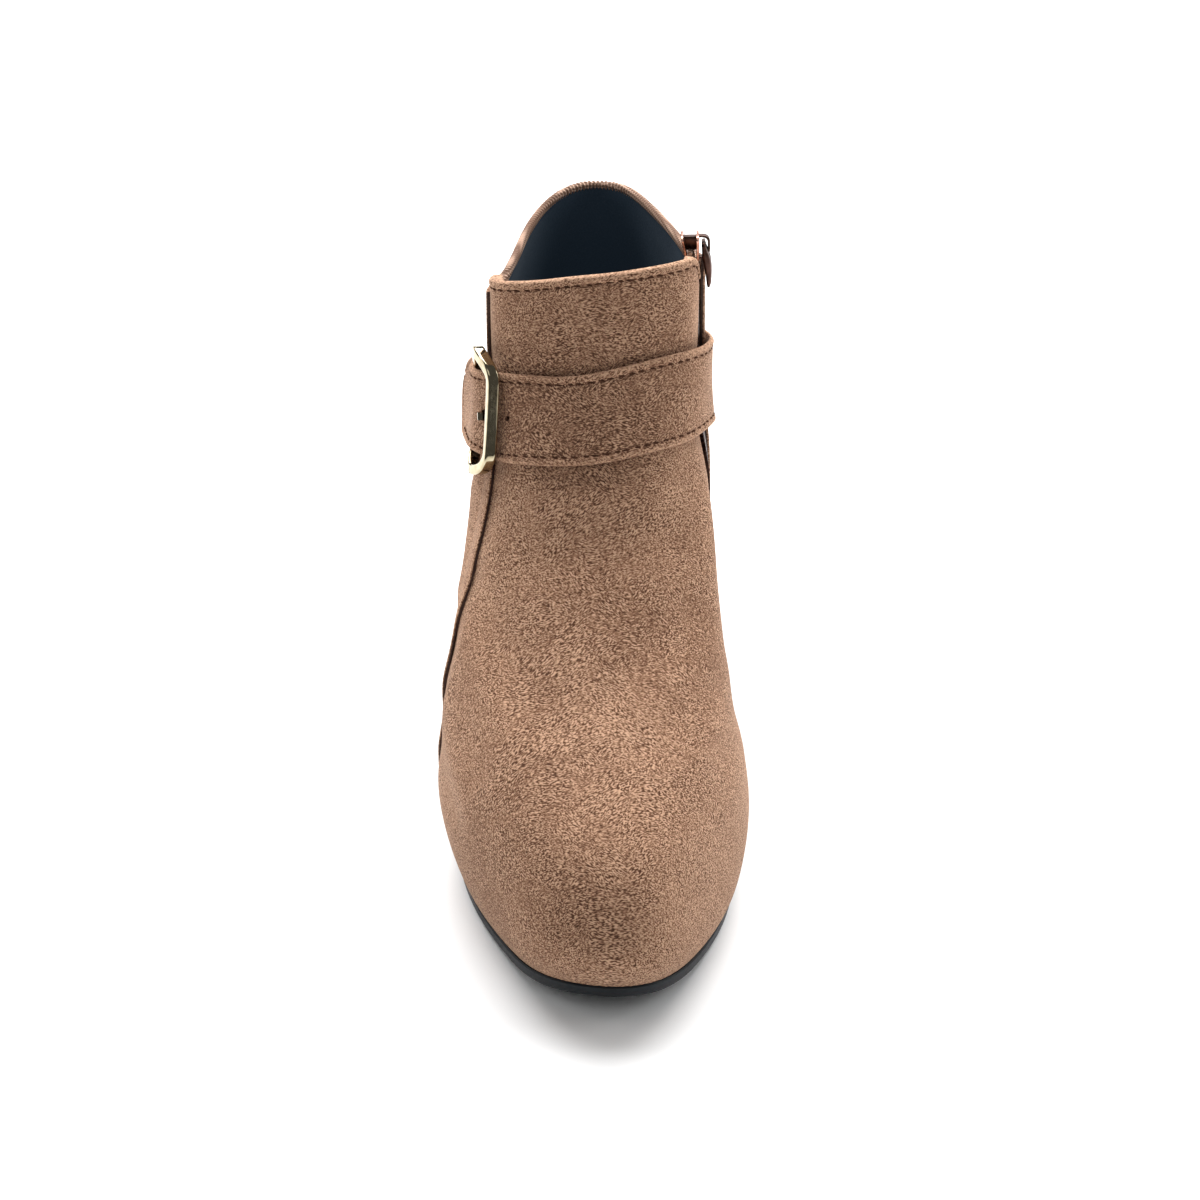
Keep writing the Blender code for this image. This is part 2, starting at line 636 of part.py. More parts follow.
def build_frame():
    """Rounded rectangle of a rounded bar, thinner where the chape folds round it."""
    half_run = BUCKLE_SPAN / 2
    loop, outward = rounded_rectangle(half_run, FRAME_HALF, FRAME_CORNER, FRAME_STEPS)
    around = 2 * math.pi * np.arange(BAR_SIDES) / BAR_SIDES
    rings = []
    for (run, width), a in zip(loop, outward):
        rear = smooth((run / half_run - REAR_START) / REAR_BLEND)
        rear = rear * smooth((REAR_HALF - abs(width) / FRAME_HALF) / REAR_SHOULDER)
        bulge = np.maximum(abs(np.cos(around)), abs(np.sin(around))) ** (-BAR_SQUARENESS * (1 - rear))
        out = bulge * np.cos(around) * (BAR_WIDE * (1 - rear) + REAR_BAR * rear) / 2
        rise = bulge * np.sin(around) * (BAR_THICK * (1 - rear) + REAR_BAR * rear) / 2
        share = np.clip((run + half_run) / BUCKLE_SPAN, 0, 1)
        height = FRONT_BAR_HEIGHT * (1 - share) + REAR_BAR_HEIGHT * share
        place = BUCKLE_FRONT + half_run + run + math.cos(a) * out
        rings.append(strap_point(place, width + math.sin(a) * out, height + rise))
    return loft("buckle_frame", rings, GOLD, closed=True)


def ribbon(name, path, thick, half_width, finish):
    """Flat band along a path of (run, height), with a thickness and a half width at each place."""
    path = np.asarray(path)
    along = unit(np.gradient(path, axis=0))
    across = np.column_stack([-along[:, 1], along[:, 0]])
    rings = []
    thick = np.broadcast_to(thick, len(path))
    half_width = np.broadcast_to(half_width, len(path))
    for centre, side, depth, reach in zip(path, across, thick, half_width):
        place = centre + side * (SECTION[:, 1] * depth)[:, None]
        rings.append(strap_point(place[:, 0], SECTION[:, 0] * reach, place[:, 1]))
    return loft(name, rings, finish)


def strap_box(name, run, width, height):
    """Box between pairs of run, width and height in the strap's own terms."""
    rings = []
    for place in np.linspace(*run, BOX_STEPS):
        widths = np.array((width[0], width[1], width[1], width[0]))
        heights = np.array((height[0], height[0], height[1], height[1]))
        rings.append(strap_point(place, widths, heights))
    return loft(name, rings, GOLD, collection=cutters)


def build_chape():
    """Hairpin of leather: low layer, fold round the rear bar, high layer back over it."""
    fold = REAR_BAR / 2 + FOLD_GAP + CHAPE_THICK / 2
    high = CHAPE_LOW + CHAPE_THICK + FOLD_GAP
    path = [(BUCKLE_REAR + x, CHAPE_LOW) for x in np.linspace(CHAPE_LENGTH, FOLD_REACH, CHAPE_STEPS)]
    path += [(BUCKLE_REAR + fold * math.cos(a), REAR_BAR_HEIGHT + fold * math.sin(a))
             for a in np.radians(np.linspace(-90, -270, FOLD_STEPS))]
    for x in np.linspace(FOLD_REACH, CHAPE_LENGTH, CHAPE_STEPS):
        share = smooth(x / FOLD_FALL)
        path.append((BUCKLE_REAR + x, (REAR_BAR_HEIGHT + fold) * (1 - share) + high * share))
    chape = ribbon("buckle_chape", path, CHAPE_THICK, CHAPE_WIDTH / 2, STRAP_SUEDE)
    slot = strap_box("chape_slot", (BUCKLE_REAR - CHAPE_SLOT, BUCKLE_REAR + CHAPE_SLOT_END),
                     (-CHAPE_SLOT / 2, CHAPE_SLOT / 2), (HOLE_LOW, HOLE_HIGH))
    cut(chape, slot)


PIN_COLUMNS = ("before_rear_bar", "height", "thick")
PIN_PATH = (
    (0.0026, 0.0038, 0.0010), (0.0045, 0.0047, 0.0012), (0.0070, 0.0056, 0.0015), (0.0095, 0.0053, 0.0015),
    (0.0120, 0.0047, 0.0015), (0.0143, 0.0042, 0.0014),
)
PIN_SLOT = (0.0018, 0.0100)
EYE_START = math.radians(-150)
EYE_END = math.radians(85)
EYE_STEPS = 11


def build_pin():
    """Buckle pin: a flat eye round the rear bar, then a rod up through the strap's hole to the front bar."""
    fold = REAR_BAR / 2 + FOLD_GAP + CHAPE_THICK / 2
    path = [(BUCKLE_REAR + fold * math.cos(a), REAR_BAR_HEIGHT + fold * math.sin(a))
            for a in np.linspace(EYE_START, EYE_END, EYE_STEPS)]
    thick = [CHAPE_THICK] * len(path)
    for before, height, depth in PIN_PATH:
        path.append((BUCKLE_REAR - before, height))
        thick.append(depth)
    ribbon("buckle_pin", path, np.array(thick), PIN_WIDE / 2, GOLD)
    hole = strap_box("strap_hole", (BUCKLE_REAR - PIN_SLOT[1], BUCKLE_REAR - PIN_SLOT[0]),
                     (-PIN_WIDE / 2 - CLEAR, PIN_WIDE / 2 + CLEAR), (HOLE_LOW, HOLE_HIGH))
    cut(strap, hole)


build_frame()
build_chape()
build_pin()

# Zip: closed chain in the channel, slider at its top, pull tab on the slider's bridge
CHAIN_START = 1.9
CHAIN_HALF = 0.0021
CHAIN_LOW = -0.0006
CHAIN_HIGH = 0.0008
CHAIN_STEPS = 30
CHAIN_ABOVE = 0.0009
CHAIN_SHOULDER = 0.0002
CHAIN_CROWN = 0.7
TOP_RUN = 0.15


def zip_point(level, across, height):
    """Point in the zip's own terms: level along it, across it towards the front, height off the last."""
    level, across, height = np.broadcast_arrays(level, across, height)
    _, panel_edge, channel_edge = zone_angles(level)
    middle = (panel_edge + channel_edge) / 2
    _, round_ring = last_slopes(level, middle)
    return wall_point(level, middle + across / np.linalg.norm(round_ring, axis=-1), height)


top_here = zip_point(TOP - STEP, 0.0, 0.0)
zip_up = unit(top_here - zip_point(TOP - TOP_RUN, 0.0, 0.0))
zip_out = unit(zip_point(TOP - STEP, 0.0, STEP) - top_here)
zip_front = np.cross(zip_out, zip_up)
zip_front = unit(zip_front) * np.sign(-zip_front[1])
zip_out = np.cross(zip_up, zip_front) * np.sign(np.cross(zip_up, zip_front) @ zip_out)


def zip_top_point(across, up, out):
    """Point over the top of the zip: across towards the front, up along it and out from the wall."""
    return top_here + zip_front * across + zip_up * up + zip_out * out


def build_chain():
    rings = []
    section = np.array((
        (-1, CHAIN_LOW), (1, CHAIN_LOW), (1, CHAIN_SHOULDER),
        (CHAIN_CROWN, CHAIN_HIGH), (-CHAIN_CROWN, CHAIN_HIGH), (-1, CHAIN_SHOULDER),
    ))
    for level in np.linspace(CHAIN_START, TOP - STEP, CHAIN_STEPS):
        rings.append(zip_point(level, section[:, 0] * CHAIN_HALF, section[:, 1]))
    rings.append(rings[-1] + zip_up * CHAIN_ABOVE)
    loft("zip_chain", rings, BRONZE)


SLIDER_START = 0.0013
SLIDER_LENGTH = 0.0078
SLIDER_LOW_HALF = 0.0032
SLIDER_HIGH_HALF = 0.0041
SLIDER_BACK = -0.0042
SLIDER_FACE = 0.0010
BRIDGE_HALF = 0.0011
BRIDGE_FACE = 0.0042
BRIDGE_LOW = 0.0010
BRIDGE_TOP = 0.0070
BRIDGE_SLOPE = 0.0010
SLIDER_NECK = 0.4
EYE_REACH = 0.004
PIVOT_UP = 0.0064
PIVOT_OUT = 0.0023
EYE_HOLE = 0.0021
EDGE_ROUND = 0.0004


def zip_block(name, rows, collection=boot):
    """Block through rows of (up, half across, back, face)."""
    rings = []
    for up, half, back, face in rows:
        corners = ((-half, back), (half, back), (half, face), (-half, face))
        rings.append([zip_top_point(across, up, out) for across, out in corners])
    return loft(name, rings, BRONZE, collection=collection)


def round_edges(target, width):
    bevel = target.modifiers.new("edges", "BEVEL")
    bevel.width = width
    bevel.segments = 2
    bevel.limit_method = "ANGLE"


def build_slider():
    start, end = SLIDER_START, SLIDER_START + SLIDER_LENGTH
    body = zip_block("zip_slider", (
        (start, SLIDER_LOW_HALF, SLIDER_BACK, SLIDER_FACE),
        (start + SLIDER_NECK * SLIDER_LENGTH, SLIDER_LOW_HALF, SLIDER_BACK, SLIDER_FACE),
        (end, SLIDER_HIGH_HALF, SLIDER_BACK, SLIDER_FACE),
    ))
    round_edges(body, EDGE_ROUND)
    bridge = zip_block("slider_bridge", (
        (start + BRIDGE_LOW, BRIDGE_HALF, 0, BRIDGE_FACE - BRIDGE_SLOPE),
        (start + BRIDGE_LOW + BRIDGE_SLOPE, BRIDGE_HALF, 0, BRIDGE_FACE),
        (start + BRIDGE_TOP - BRIDGE_SLOPE, BRIDGE_HALF, 0, BRIDGE_FACE),
        (start + BRIDGE_TOP, BRIDGE_HALF, 0, BRIDGE_FACE - BRIDGE_SLOPE),
    ), cutters)
    join = body.modifiers.new("bridge", "BOOLEAN")
    join.operation = "UNION"
    join.solver = "EXACT"
    join.object = bridge
    bridge.hide_render = True
    bridge.display_type = "WIRE"
    half = EYE_HOLE / 2
    eye = zip_block("slider_eye", (
        (PIVOT_UP - half, EYE_REACH, PIVOT_OUT - half, PIVOT_OUT + half),
        (PIVOT_UP + half, EYE_REACH, PIVOT_OUT - half, PIVOT_OUT + half),
    ), cutters)
    cut(body, eye)


# Pull tab, made in its own terms: x towards the front, y down the tab, z out, the pivot at the origin
PULL_WIDE = 0.0054
PULL_LENGTH = 0.0160
PULL_THICK = 0.0013
PULL_PIN = 0.0011
PULL_EYE_HALF = 0.0016
PULL_EYE_END = 0.0056
PULL_LEAN = math.radians(5)
PULL_TAPER = 0.72
PULL_ROUND = 9


def build_pull():
    down = -zip_up * math.cos(PULL_LEAN) + zip_out * math.sin(PULL_LEAN)
    away = np.cross(zip_front, down)
    pivot = zip_top_point(0.0, PIVOT_UP, PIVOT_OUT)
    half, tail, top = PULL_WIDE / 2, PULL_WIDE / 2 * PULL_TAPER, PULL_PIN / 2
    shape = [(-half, -top), (half, -top), (half, PULL_EYE_END)]
    turns = np.linspace(0, math.pi, PULL_ROUND)
    shape += [(tail * math.cos(a), PULL_LENGTH - tail + tail * math.sin(a)) for a in turns]
    shape += [(-half, PULL_EYE_END)]
    frame_of_pull = np.eye(4)
    frame_of_pull[:3, 0] = zip_front
    frame_of_pull[:3, 1] = down
    frame_of_pull[:3, 2] = away
    frame_of_pull[:3, 3] = pivot
    rings = [[(x, y, z) for x, y in shape] for z in (-PULL_THICK / 2, PULL_THICK / 2)]
    pull = loft("zip_pull", rings, BRONZE)
    pull.matrix_world = Matrix(frame_of_pull.tolist())
    sides = (-PULL_EYE_HALF, PULL_EYE_HALF)
    opening = [(sides[0], top), (sides[1], top), (sides[1], PULL_EYE_END), (sides[0], PULL_EYE_END)]
    walls = [[(x, y, z) for x, y in opening] for z in (-PULL_THICK, PULL_THICK)]
    eye = loft("pull_eye", walls, BRONZE, collection=cutters)
    eye.matrix_world = Matrix(frame_of_pull.tolist())
    cut(pull, eye)


build_chain()
build_slider()
build_pull()

# The boot stands with the middle of its box over the origin
for piece in (*boot.objects, *cutters.objects):
    piece.location = piece.location + Vector(SHIFT)
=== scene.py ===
# %% [markdown]
# # A block heel ankle boot, dressed
# The solids of the boot come in as a fixed frame. This lesson lays the visible boot over them: suede
# panels, lining, strap, buckle, zip and sole. Each step first says what the piece is on a real boot.

import math

import bmesh
import bpy
import numpy as np
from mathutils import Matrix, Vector


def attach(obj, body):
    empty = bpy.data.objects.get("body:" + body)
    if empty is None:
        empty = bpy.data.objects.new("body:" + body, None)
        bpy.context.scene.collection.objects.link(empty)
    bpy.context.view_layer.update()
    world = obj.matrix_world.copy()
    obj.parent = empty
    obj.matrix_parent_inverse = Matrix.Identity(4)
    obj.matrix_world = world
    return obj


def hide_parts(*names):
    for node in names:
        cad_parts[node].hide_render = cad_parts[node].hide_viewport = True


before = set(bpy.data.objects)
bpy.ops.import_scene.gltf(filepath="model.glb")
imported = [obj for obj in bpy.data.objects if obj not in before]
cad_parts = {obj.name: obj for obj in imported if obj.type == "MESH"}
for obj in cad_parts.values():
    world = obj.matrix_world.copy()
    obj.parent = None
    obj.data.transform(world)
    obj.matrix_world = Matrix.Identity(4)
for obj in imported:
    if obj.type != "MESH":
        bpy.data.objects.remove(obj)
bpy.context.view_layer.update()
print("solids:", sorted(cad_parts))

# %% [markdown]
# ## The last
# A shoemaker pulls an upper over a last, a wooden foot. Here the last is ten closed rings, from the
# feather line at the sole to the collar. Widths at a few stations go through smooth splines, so every
# piece that lies on the boot can ask for a point at a level and an angle. Sculpting by eye would be
# quicker, but then the strap, the stitches and the lining would each need their own fitting.

# %% Sizes of the last
SHIFT = np.array((0.0007, 0.00133, 0.0))
LENGTH = 0.240
BALL_WIDTH = 0.090
HEEL_HEIGHT = 0.0535
TOE_SPRING = 0.009
FRONT_HEIGHT = 0.138
BACK_HEIGHT = 0.088
SOLE_EDGE = 0.004
COLLAR_DIP = 0.004
RING_COLUMNS = (
    "front", "front_rise", "back", "back_rise", "follow", "ridge", "panel", "lat_seam", "med_seam",
)
RINGS = np.array((
    (0.988, 0.000, 0.033, 0.000, 1.00, 0.067, 0.0016, 0.700, 0.588),
    (1.000, 0.047, 0.015, 0.102, 0.95, 0.067, 0.0016, 0.692, 0.586),
    (0.996, 0.116, 0.004, 0.216, 0.85, 0.067, 0.0016, 0.675, 0.578),
    (0.958, 0.203, 0.004, 0.330, 0.70, 0.061, 0.0016, 0.646, 0.560),
    (0.883, 0.272, 0.010, 0.432, 0.50, 0.050, 0.0016, 0.604, 0.530),
    (0.758, 0.348, 0.021, 0.534, 0.30, 0.039, 0.0016, 0.542, 0.484),
    (0.633, 0.453, 0.031, 0.636, 0.15, 0.028, 0.0016, 0.481, 0.428),
    (0.525, 0.601, 0.040, 0.739, 0.05, 0.017, 0.0018, 0.417, 0.388),
    (0.450, 0.790, 0.046, 0.864, 0.00, 0.011, 0.0022, 0.371, 0.363),
    (0.408, 1.000, 0.050, 1.000, 0.00, 0.011, 0.0030, 0.346, 0.346),
))
RING_STATIONS = np.array((0.03, 0.10, 0.28, 0.52, 0.80, 0.95))
OUTER_SIDE = np.array((
    (0.147, 0.267, 0.428, 0.372, 0.300, 0.250),
    (0.153, 0.290, 0.458, 0.413, 0.339, 0.262),
    (0.155, 0.294, 0.488, 0.432, 0.349, 0.262),
    (0.146, 0.299, 0.478, 0.428, 0.345, 0.250),
    (0.139, 0.281, 0.451, 0.420, 0.329, 0.225),
    (0.128, 0.257, 0.396, 0.412, 0.305, 0.195),
    (0.126, 0.231, 0.365, 0.381, 0.277, 0.165),
    (0.136, 0.240, 0.343, 0.342, 0.250, 0.141),
    (0.144, 0.278, 0.337, 0.309, 0.223, 0.121),
    (0.147, 0.294, 0.299, 0.262, 0.195, 0.093),
))
INNER_SIDE = np.array((
    (0.228, 0.333, 0.428, 0.278, 0.289, 0.244),
    (0.236, 0.353, 0.462, 0.322, 0.322, 0.256),
    (0.231, 0.341, 0.482, 0.346, 0.332, 0.256),
    (0.211, 0.325, 0.452, 0.335, 0.329, 0.244),
    (0.187, 0.289, 0.405, 0.345, 0.316, 0.220),
    (0.163, 0.256, 0.379, 0.348, 0.294, 0.190),
    (0.155, 0.242, 0.368, 0.345, 0.273, 0.161),
    (0.160, 0.243, 0.342, 0.333, 0.244, 0.139),
    (0.158, 0.271, 0.340, 0.316, 0.216, 0.117),
    (0.162, 0.286, 0.326, 0.275, 0.180, 0.089),
))
TOP = len(RINGS) - 1
FLAT_TOE = 0.80
FLAT_HEEL = 0.68
SHANK_TOP = 0.22
PITCH_START = 0.40
SEAT_PITCH = 0.0066
print("last:", len(RINGS), "rings with", len(RING_STATIONS), "widths a side")


# %% Splines through the tables
def spline(knots, values, at, turn=None):
    """Cubic spline through values[..., k] at knots[k]; closed over a turn if one is given."""
    count = len(knots)
    gaps = np.diff(np.append(knots, knots[0] + turn) if turn else knots)
    left_side = np.eye(count)
    right_side = np.zeros((count, count))
    for k in range(0 if turn else 1, count if turn else count - 1):
        before, after = (k - 1) % count, (k + 1) % count
        near, far = gaps[k - 1], gaps[k]
        left_side[k] = 0
        for column, weight in ((before, near), (k, 2 * (near + far)), (after, far)):
            left_side[k, column] += weight
        for column, weight in ((before, 6 / near), (k, -6 / near - 6 / far), (after, 6 / far)):
            right_side[k, column] += weight
    at = np.asarray(at, float)
    at = at % turn if turn else np.clip(at, knots[0], knots[-1])
    values = np.broadcast_to(values, at.shape + (count,))
    bends = values @ np.linalg.solve(left_side, right_side).T
    k = np.clip(np.searchsorted(knots, at, side="right") - 1, 0, len(gaps) - 1)

    def pick(table, index):
        return np.take_along_axis(table, index[..., None], -1)[..., 0]

    after = (k + 1) % count
    gap = gaps[k]
    t = (at - knots[k]) / gap
    straight = (1 - t) * pick(values, k) + t * pick(values, after)
    bow = ((1 - t) ** 3 - (1 - t)) * pick(bends, k) + (t ** 3 - t) * pick(bends, after)
    return straight + bow * gap ** 2 / 6


def column_at(rows, column, at):
    """One column of a table whose first column is the place, read smoothly."""
    rows = np.asarray(rows, float)
    return spline(rows[:, 0], rows[:, column], at)


def ring_at(level):
    levels = np.arange(len(RINGS), dtype=float)
    return {name: spline(levels, RINGS[:, k], level) for k, name in enumerate(RING_COLUMNS)}


# %% Small measures
def smooth(t):
    t = np.clip(t, 0, 1)
    return t * t * (3 - 2 * t)


def bell(distance, width):
    return np.exp(-(distance / width) ** 2)


def unit(vectors):
    return vectors / np.linalg.norm(vectors, axis=-1, keepdims=True)


def run_along(points):
    """Length walked from the first point to each point of a path, the path along the last axis but one."""
    return np.cumsum(np.linalg.norm(np.diff(points, axis=-2, prepend=points[..., :1, :]), axis=-1), axis=-1)


def read_along(run, at, *columns):
    """Points at lengths of a run, read straight between the points of the path."""
    return np.stack([np.interp(at, run, column) for column in columns], -1)


# %% Points on the last
STEP = 1e-3


def y_of(station):
    return LENGTH * (0.5 - station)


def sole_under(y):
    """Height of the outsole's underside: toe spring, flat at the ball, shank and pitched heel seat."""
    station = 0.5 - np.asarray(y) / LENGTH
    spring = TOE_SPRING * np.clip((station - FLAT_TOE) / (1 - FLAT_TOE), 0, 2) ** 2
    shank = (HEEL_HEIGHT - SEAT_PITCH) * smooth((FLAT_HEEL - station) / (FLAT_HEEL - SHANK_TOP))
    pitch = SEAT_PITCH * np.clip((PITCH_START - station) / PITCH_START, 0, 2) ** 2
    return spring + shank + pitch


def last_point(level, angle):
    """Point of the last at a level and an angle, 0 at the front ridge and positive on the outer side."""
    level, angle = np.broadcast_arrays(np.asarray(level, float), np.asarray(angle, float))
    ring = ring_at(level)
    levels = np.arange(TOP + 1, dtype=float)
    side = np.arccos(1 - 2 * RING_STATIONS)
    knots = np.concatenate(((0,), side, (math.pi,), 2 * math.pi - side[::-1]))
    outer_side = [-spline(levels, OUTER_SIDE[:, k], level) for k in range(len(side))]
    inner_side = [spline(levels, INNER_SIDE[:, k], level) for k in range(len(side))][::-1]
    widths = np.stack([ring["ridge"], *outer_side, 0 * level, *inner_side], -1)
    x = BALL_WIDTH * spline(knots, widths, angle, 2 * math.pi)
    share = (1 - np.cos(angle)) / 2
    front, back = y_of(ring["front"]), y_of(ring["back"])
    y = front + (back - front) * share
    rise_front = TOE_SPRING + SOLE_EDGE + FRONT_HEIGHT * ring["front_rise"]
    rise_back = HEEL_HEIGHT + SOLE_EDGE + BACK_HEIGHT * ring["back_rise"]
    chord = sole_under(front) * (1 - share) + sole_under(back) * share
    z = rise_front * (1 - share) + rise_back * share + ring["follow"] * (sole_under(y) - chord)
    outer = np.clip(np.sin(angle), 0, 1) ** 2
    z = z - COLLAR_DIP * outer * np.clip((level - TOP + 2) / 2, 0, 1) ** 2
    return np.stack([x, y, z], -1)


def last_slopes(level, angle):
    up = last_point(level + STEP, angle) - last_point(level - STEP, angle)
    round_ring = last_point(level, angle + STEP) - last_point(level, angle - STEP)
    return up / (2 * STEP), round_ring / (2 * STEP)


def wall_normal(level, angle):
    return unit(np.cross(*last_slopes(level, angle)))


def wall_point(level, angle, height):
    """Point at a height off the last, along its outward normal."""
    level, angle, height = np.broadcast_arrays(level, angle, height)
    return last_point(level, angle) + wall_normal(level, angle) * height[..., None]


# %% Edges of the panel and the zip on the last
CHANNEL_WIDTH = 0.0066
STEEPEST_SLANT = 2.0


def seam_angle(level, seam, shift=0.0):
    """Angle of a seam on the outer side, moved back by a shift; the inner side has it with a minus."""
    ring = ring_at(level)
    front, back = y_of(ring["front"]), y_of(ring["back"])
    share = (y_of(ring[seam]) + shift - front) / (back - front)
    return np.arccos(np.clip(1 - 2 * share, -1, 1))


def zone_angles(level):
    """Angles of the front panel's outer edge, its inner edge and the zip channel's back edge."""
    level = np.asarray(level, float)
    lateral = seam_angle(level, "lat_seam")
    medial = seam_angle(level, "med_seam")
    above, below = level + STEP, level - STEP
    run = last_point(above, -seam_angle(above, "med_seam")) - last_point(below, -seam_angle(below, "med_seam"))
    slant = np.clip(run[..., 1] / run[..., 2], 0, STEEPEST_SLANT)
    channel = seam_angle(level, "med_seam", CHANNEL_WIDTH * np.sqrt(1 + slant ** 2))
    return lateral, 2 * math.pi - medial, 2 * math.pi - channel


print("collar front at", (last_point(TOP, 0.0) + SHIFT).round(4))

# %% [markdown]
# ## Making pieces
# Every piece here is a grid of points that a formula gives, closed into a shell or a loft. A shell has an
# outer and an inner face with edges between, as a cut piece of leather has, so the model also makes sense
# from the inside. A named number on the points tells a finish where its nap is lighter near an edge:
# partly worn by brushing, partly a painted highlight.


# %% Faces of a grid
def grid_quads(rows, columns, first=0, wrap=False):
    i = np.arange(rows - 1)[:, None] * columns
    j = np.arange(columns if wrap else columns - 1)[None]
    here, beside = first + i + j, first + i + (j + 1) % columns
    return np.stack([here, beside, beside + columns, here + columns], -1).reshape(-1, 4)


def strip_quads(one, other):
    return np.stack([one[:-1], one[1:], other[1:], other[:-1]], -1)


# %% Pieces that ride on a body
SHARP = math.radians(40)
WELD = 1e-7


def new_mesh(name, points, faces):
    mesh = bpy.data.meshes.new(name)
    corners = (np.asarray(points).reshape(-1, 3) + SHIFT).tolist()
    mesh.from_pydata(corners, [], [list(map(int, face)) for face in faces])
    return mesh


def face_outwards(mesh, weld=None):
    """Turns all faces outwards, after joining points nearer than weld."""
    edit = bmesh.new()
    edit.from_mesh(mesh)
    if weld:
        bmesh.ops.remove_doubles(edit, verts=edit.verts, dist=weld)
    bmesh.ops.recalc_face_normals(edit, faces=edit.faces)
    edit.to_mesh(mesh)
    edit.free()


def new_object(name, data):
    made = bpy.data.objects.new(name, data)
    bpy.context.scene.collection.objects.link(made)
    return made


def new_piece(name, points, faces, finishes, stands_for=(), slot=None, body="boot", marks=None, look=None):
    """A mesh in the boot's frame that rides on a body; look gives each face the number of its finish."""
    mesh = new_mesh(name, points, faces)
    for finish in finishes if isinstance(finishes, (list, tuple)) else [finishes]:
        mesh.materials.append(finish)
    if look is not None:
        mesh.polygons.foreach_set("material_index", np.asarray(look, np.int32))
    for mark, values in (marks or {}).items():
        held = mesh.attributes.new(mark, "FLOAT", "POINT").data
        held.foreach_set("value", np.ravel(values).astype(np.float32))
    face_outwards(mesh, WELD)
    mesh.shade_smooth()
    mesh.set_sharp_from_angle(angle=SHARP)
    piece = new_object(name, mesh)
    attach(piece, body)
    if stands_for:
        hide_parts(*stands_for)
    print(name, len(mesh.polygons), "faces")
    return piece


# %% Shells and lofts
def shell_faces(rows, columns, wrap=False):
    """Faces of an outer and an inner grid joined at their edges, and which part each face is of."""
    count = rows * columns
    outer = grid_quads(rows, columns, 0, wrap)
    inner = grid_quads(rows, columns, count, wrap)[:, ::-1]
    index = np.arange(count).reshape(rows, columns)
    rims = [index[0], index[-1]]
    if wrap:
        rims = [np.append(rim, rim[0]) for rim in rims]
    else:
        rims += [index[:, 0], index[:, -1]]
    groups = [outer, inner] + [strip_quads(rim, rim + count) for rim in rims]
    part = np.concatenate([np.full(len(g), k) for k, g in enumerate(groups)])
    return np.concatenate(groups), part


def loft_faces(rows, columns, closed=False):
    """Faces through closed rings: joined end to end, or with a fan at both ends."""
    faces = [list(f) for f in grid_quads(rows, columns, 0, True)]
    if closed:
        last = (rows - 1) * columns
        faces += [[last + j, last + (j + 1) % columns, (j + 1) % columns, j] for j in range(columns)]
    else:
        faces += [list(range(columns))[::-1], list(range((rows - 1) * columns, rows * columns))]
    return faces


def lofted(name, rings, finishes, *told, **more):
    """A piece through closed rings, capped at both ends."""
    rings = np.asarray(rings)
    return new_piece(name, rings, loft_faces(*rings.shape[:2]), finishes, *told, **more)


# %% Spacing of points
def packed(count, strength=0.9):
    """Shares from 0 to 1 that crowd together at both ends."""
    t = np.linspace(0, 1, count)
    return t - strength * np.sin(2 * math.pi * t) / (2 * math.pi)


def rounded(distance, radius):
    """How far a rounded edge has dropped at a distance in from it."""
    inside = np.clip(radius - distance, 0, radius)
    return radius - np.sqrt(radius ** 2 - inside ** 2)


RING_SAMPLES = 240


def ring_angles(levels, starts, ends, shares):
    """Angles that split each ring from start to end by shares of its length, and the lengths."""
    angles = starts[:, None] + (ends - starts)[:, None] * np.linspace(0, 1, RING_SAMPLES)
    points = last_point(levels[:, None], angles)
    run = run_along(points)
    split = np.stack([np.interp(shares * r[-1], r, a) for r, a in zip(run, angles)])
    return split, run[:, -1]


# %% [markdown]
# ## Finishes as formulas
# A finish is a small net of nodes. Drawing it by hand in the editor is fine for one, but a formula shows
# the idea better: a Wire stands for a socket, and sums of Wires add the Math nodes that do the sum.


# %% Sums of sockets
class Wire:
    """A socket of a finish; arithmetic on it adds Math nodes."""

    def __init__(self, finish, socket):
        self.finish = finish
        self.socket = socket

    def maths(self, operation, *values):
        node = self.finish.node("ShaderNodeMath", {"operation": operation}, dict(enumerate(values)))
        return Wire(self.finish, node.outputs[0])

    def __add__(self, other):
        return self.maths("ADD", self, other)

    def __sub__(self, other):
        return self.maths("SUBTRACT", self, other)

    def __rsub__(self, other):
        return self.maths("SUBTRACT", other, self)

    def __mul__(self, other):
        return self.maths("MULTIPLY", self, other)

    __radd__ = __add__
    __rmul__ = __mul__

    def clipped(self):
        return self.maths("MINIMUM", self.maths("MAXIMUM", self, 0.0), 1.0)


